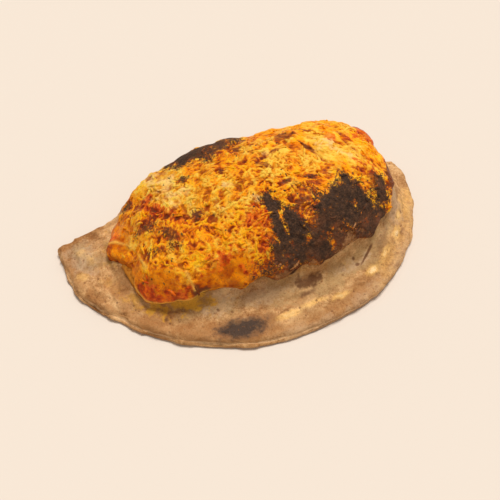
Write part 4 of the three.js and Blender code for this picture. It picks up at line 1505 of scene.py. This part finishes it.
# Grey-beige flour, darker along the dome's foot as painted shade.
color = lay(color, FLOUR_AND_SHADE_TINT, read("floury") + 1.2 * fleck, 0.1, 1.1, 0.8)
# Pale grey-beige painted light on the outer rim and under the cheese's edge.
color = lay(color, PAINTED_BOUNCE_TINT, read("dusty") + 0.8 * fleck, 0, 1.1, 0.6)
# Golden crust with painted highlights on the crests; the strongest get a cream painted highlight.
color = lay(color, GOLD_AND_HIGHLIGHT, read("golden") + 0.9 * blot, 0.1, 1.2, 0.95)
color = lay(color, CREAM_HIGHLIGHT, read("golden") + 0.8 * blot, 0.75, 1.3, 0.7)
# Pale seam along the front: painted highlight on the lip.
color = bread.blend(0.75 * read("seam_line"), color, SEAM_HIGHLIGHT)
color = lay(color, OIL_STAIN, read("oily") + 0.7 * (patchy - 0.5), 0.1, 0.9, 0.85)
color = lay(color, SMUDGE, read("smudged") + 1.2 * blot, 0.1, 0.9, 0.9)
sooty = read("sooty") + 0.9 * fleck + 0.4 * (patchy - 0.5)
color = lay(color, SOOT_EDGE, sooty, 0.1, 0.7, 0.55)
color = lay(color, SOOT, sooty, 0.35, 1.1, 0.95)
color = lay(color, DARK_GRAIN, grain, 0.52, 0.3, 0.55, "MULTIPLY")
color = lay(color, SPECK, bread.noise(2.1, 2, 0.5), 0.62, 0.74, 0.5)
color = lay(color, PIT_SHADE, read("pit"), 0.2, 0.8, 0.75)
bread.dress(color, bread.rise(speckle - 0.6 * read("oily"), -0.2, 0.8, 0.4, 0.85))
bread.bump(0.8 * speckle + patchy, 1.3, 0.8)
crust.data.materials.append(bread.material)
print("baked crust has", len(bread.tree.nodes), "nodes")

# %% [markdown]
# ## Loose shreds
#
# A few hundred loose shreds of cheese lie on the melted strands. Placed by hand they would take
# hours, and copies of one stiff shred would stick out of the dome. Geometry Nodes suits them: it
# drops one of four curved lines on each scattered point, pulls every line down on to the sheet's
# face, and only then gives the lines a round section. So a shred hugs the dome however it bends.

# %% The tree of the shreds
SHRED_HANDLES = [  # the two handles of each line, which runs from -0.5 to 0.5 along X
    ((-0.2, 0.12, 0), (0.2, 0.12, 0)), ((-0.2, 0.45, 0), (0.2, -0.45, 0)),
    ((-0.3, 0.6, 0), (0.5, 0.7, 0)), ((0.5, 0.8, 0), (-0.5, 0.8, 0))]
SHRED_STRETCH = ((0.45, -1.1, 1), (1.5, 1.1, 1))  # least and most, across too, so some mirror
LINE_POINTS, SECTION_SIDES = 8, 5
WAVER_SCALE, WAVER_HEIGHT = 170, 0.0022  # bumps to the metre, and metres
SWELL_SCALE, SWELL_LEAST, SWELL_GAIN = 330, 0.1, 1.9
END_WIDTH = 0.35  # share of the width at the ends


def shred_tree():
    """Lines dropped on a sheet, pulled down on to its face and swept into shreds."""
    tree = Growth("laid shreds", {
        "Count per m2": ("Float", 60000.0), "Length": ("Float", 0.012),
        "Width": ("Float", 0.0013), "Lift": ("Float", 0.0006), "Sink": ("Float", 0.0004),
        "Seed": ("Int", 1), "Finish": ("Material", None)})
    spin = tree.wave("ShaderNodeCombineXYZ", {"Z": tree.random(0, 2 * math.pi, 3)})
    points, rotation = tree.scatter("laid", spin)
    lines = tree.node("GeometryNodeJoinGeometry", {})
    for first, second in SHRED_HANDLES:
        line = tree.wave("GeometryNodeCurvePrimitiveBezierSegment", {
            "Resolution": LINE_POINTS - 1, "Start": (-0.5, 0, 0), "Start Handle": first,
            "End Handle": second, "End": (0.5, 0, 0)})
        tree.feed(lines.inputs[0], tree.wave("GeometryNodeGeometryToInstance", {0: line}))
    stretch = tree.random(*SHRED_STRETCH, 5, "FLOAT_VECTOR")
    dropped = tree.wave("GeometryNodeInstanceOnPoints", {
        "Points": points, "Instance": lines.outputs[0], "Pick Instance": True,
        "Instance Index": tree.random(0, len(SHRED_HANDLES) - 1, 6, "INT"),
        "Rotation": rotation, "Scale": tree.scaled(stretch, tree.input("Length"))})
    shaded = tree.wave("GeometryNodeStoreNamedAttribute", {
        "Geometry": dropped, "Name": "shade", "Value": tree.random(0, 1, 8)},
        domain="INSTANCE")
    drawn = tree.wave("GeometryNodeResampleCurve", {
        "Curve": tree.wave("GeometryNodeRealizeInstances", {0: shaded}), "Count": LINE_POINTS})

    near = tree.node("GeometryNodeProximity", {0: tree.sheet}, target_element="FACES")
    facing = tree.wave("GeometryNodeSampleNearestSurface", {
        "Mesh": tree.sheet, "Value": tree.wave("GeometryNodeInputNormal", {})},
        data_type="FLOAT_VECTOR")
    waver = tree.wave("ShaderNodeTexNoise", {"Scale": WAVER_SCALE, "Detail": 1})
    height = (tree.field("shade") * tree.input("Lift") - tree.input("Sink")
              + (waver - 0.5) * WAVER_HEIGHT)
    rest = tree.wave("ShaderNodeVectorMath", {
        0: near.outputs["Position"], 1: tree.scaled(facing, height)}, operation="ADD")
    laid = tree.wave("GeometryNodeSetPosition", {"Geometry": drawn, "Position": rest})

    along = Wave(tree, tree.node("GeometryNodeSplineParameter", {}).outputs["Factor"])
    hump = tree.math("POWER", along * 4 * (1 - along), 0.5)
    taper = hump * (1 - END_WIDTH) + END_WIDTH
    swell = tree.wave("ShaderNodeTexNoise", {"Scale": SWELL_SCALE, "Detail": 1})
    thickness = tree.input("Width") * 0.5 * (swell * SWELL_GAIN + SWELL_LEAST)
    section = tree.wave("GeometryNodeCurvePrimitiveCircle", {
        "Resolution": SECTION_SIDES, "Radius": 1.0})
    tubes = tree.wave("GeometryNodeCurveToMesh", {
        "Curve": laid, "Profile Curve": section, "Scale": thickness * taper,
        "Fill Caps": True})
    tree.finish(tree.wave("GeometryNodeSetShadeSmooth", {0: tubes}))
    return tree


shreds = shred_tree()
print("tree of the shreds has", len(shreds.tree.nodes), "nodes")

# %% [markdown]
# The shreds take the same patches as the sheet, so a shred over a burn is burnt too.

# %% Lay the shreds
golden_shreds = grow("golden_shreds", shreds, cheese, {
    "Count per m2": 15000.0, "Length": 0.009, "Width": 0.0020, "Lift": 0.0006,
    "Sink": 0.0006, "Seed": 11}, shred_finish)


def set_field(piece, name, values):
    """Writes one number a vertex on a piece under a name."""
    field = piece.data.attributes.get(name)
    if field is None:
        field = piece.data.attributes.new(name, "FLOAT", "POINT")
    field.data.foreach_set("value", values)


def places_of(piece):
    """The piece's vertices in mm in the half moon's own frame."""
    flat = np.empty(len(piece.data.vertices) * 3)
    piece.data.vertices.foreach_get("co", flat)
    return flat.reshape(-1, 3) / MM - SHIFT


for field, values in topping_fields(places_of(golden_shreds)).items():
    set_field(golden_shreds, field, values)

# %% [markdown]
# ## Herbs and cinders
#
# Dried herbs and flakes of burnt cheese lie on the curls. One tree makes both: it scatters small
# dented balls where a field on the sheet allows, each squashed and turned by chance.

# %% The tree of the bits
BIT_TILT, BIT_SPIN = 0.3, 6.3  # radians, at most
BIT_STRETCH = ((0.6, 0.5, 0.3), (1.9, 1.1, 0.7))  # least and most
DENT_SCALE, DENT_DEPTH = 2.3, 1.6


def bit_tree():
    """Small dented balls scattered on a sheet."""
    tree = Growth("scattered bits", {
        "Count per m2": ("Float", 5000.0), "Size": ("Float", 0.001), "Seed": ("Int", 1),
        "Finish": ("Material", None)})
    points, rotation = tree.scatter("bits", tree.random(
        (-BIT_TILT, -BIT_TILT, 0), (BIT_TILT, BIT_TILT, BIT_SPIN), 3, "FLOAT_VECTOR"))
    ball = tree.wave("GeometryNodeMeshIcoSphere", {"Radius": 0.5, "Subdivisions": 2})
    rough = tree.wave("ShaderNodeTexNoise", {"Scale": DENT_SCALE, "Detail": 1})
    push = tree.scaled(tree.wave("GeometryNodeInputPosition", {}), (rough - 0.5) * DENT_DEPTH)
    dented = tree.wave("GeometryNodeSetPosition", {"Geometry": ball, "Offset": push})
    stretch = tree.random(*BIT_STRETCH, 5, "FLOAT_VECTOR")
    tree.finish(tree.wave("GeometryNodeInstanceOnPoints", {
        "Points": points, "Instance": dented, "Rotation": rotation,
        "Scale": tree.scaled(stretch, tree.input("Size"))}))
    return tree


bits_tree = bit_tree()
print("tree of the bits has", len(bits_tree.tree.nodes), "nodes")

# %% [markdown]
# Herbs lie mostly on the left and along the top, cinders round the burns. Both have a field of
# patches of their own, and both stay off the sheet's underside.

# %% Herbs and cinders
HERBS = [(-62, -50, 34, 26, 0, 1), (-60, -76, 24, 10, 0, 1), (-20, -8, 40, 18, 0, 0.8),
         (30, -40, 30, 20, 0, 0.3), (20, -6, 40, 14, 0, 0.5)]
CINDERS = [(30, -62, 22, 22, 0, 0.9), (66, -66, 30, 16, 0, 0.7), (-8, 16, 34, 9, 0, 0.6)]


def bit_finish(name, roughness, gloss, share, dark, light):
    """Dull bits between two colours, with a fine rough face; `share` makes their blend."""
    finish = Finish(name, Roughness=roughness, Specular_IOR_Level=gloss)
    finish.dress(finish.blend(share(finish), dark, light))
    finish.bump(finish.noise(0.5, 2), 0.2, 0.6)
    return finish


herb_finish = bit_finish("dried herbs", 0.7, 0.2,
                         lambda finish: finish.rise(finish.noise(3, 2), 0.4, 0.6),
                         (0.035, 0.030, 0.010), (0.10, 0.065, 0.015))
cinder_finish = bit_finish("cinders", 0.6, 0.3, lambda finish: finish.noise(1.5, 3),
                           (0.025, 0.012, 0.008), (0.10, 0.045, 0.022))
sheet_places = places_of(cheese)
laid = np.zeros(len(sheet_places))
cheese.data.attributes["laid"].data.foreach_get("value", laid)
on_top = laid > 0.01  # nothing is laid on the underside


def scatter_bits(name, patches, size, seed, sizes, finish):
    """Scatters bits over the top of the sheet, where patches with an edge of that noise allow."""
    where = patches_at(sheet_places, patches, 0.5, size, 0.6, seed)
    set_field(cheese, "bits", where * on_top)
    return grow(name, bits_tree, cheese, sizes, finish)


herbs = scatter_bits("herb_flecks", HERBS, 12, 91, {
    "Count per m2": 7500.0, "Size": 0.00135, "Seed": 4}, herb_finish)
cinders = scatter_bits("cinders", CINDERS, 10, 94, {
    "Count per m2": 22000.0, "Size": 0.0014, "Seed": 8}, cinder_finish)

# %% [markdown]
# ## Hand over
#
# Every piece rides on the calzone's one body, and the three meshes stand for the plain solids.

# %% Hand over
for piece in (crust, sauce, cheese, golden_shreds, herbs, cinders):
    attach(piece, "root")
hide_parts("dough")
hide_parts("sauce")
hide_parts("cheese")
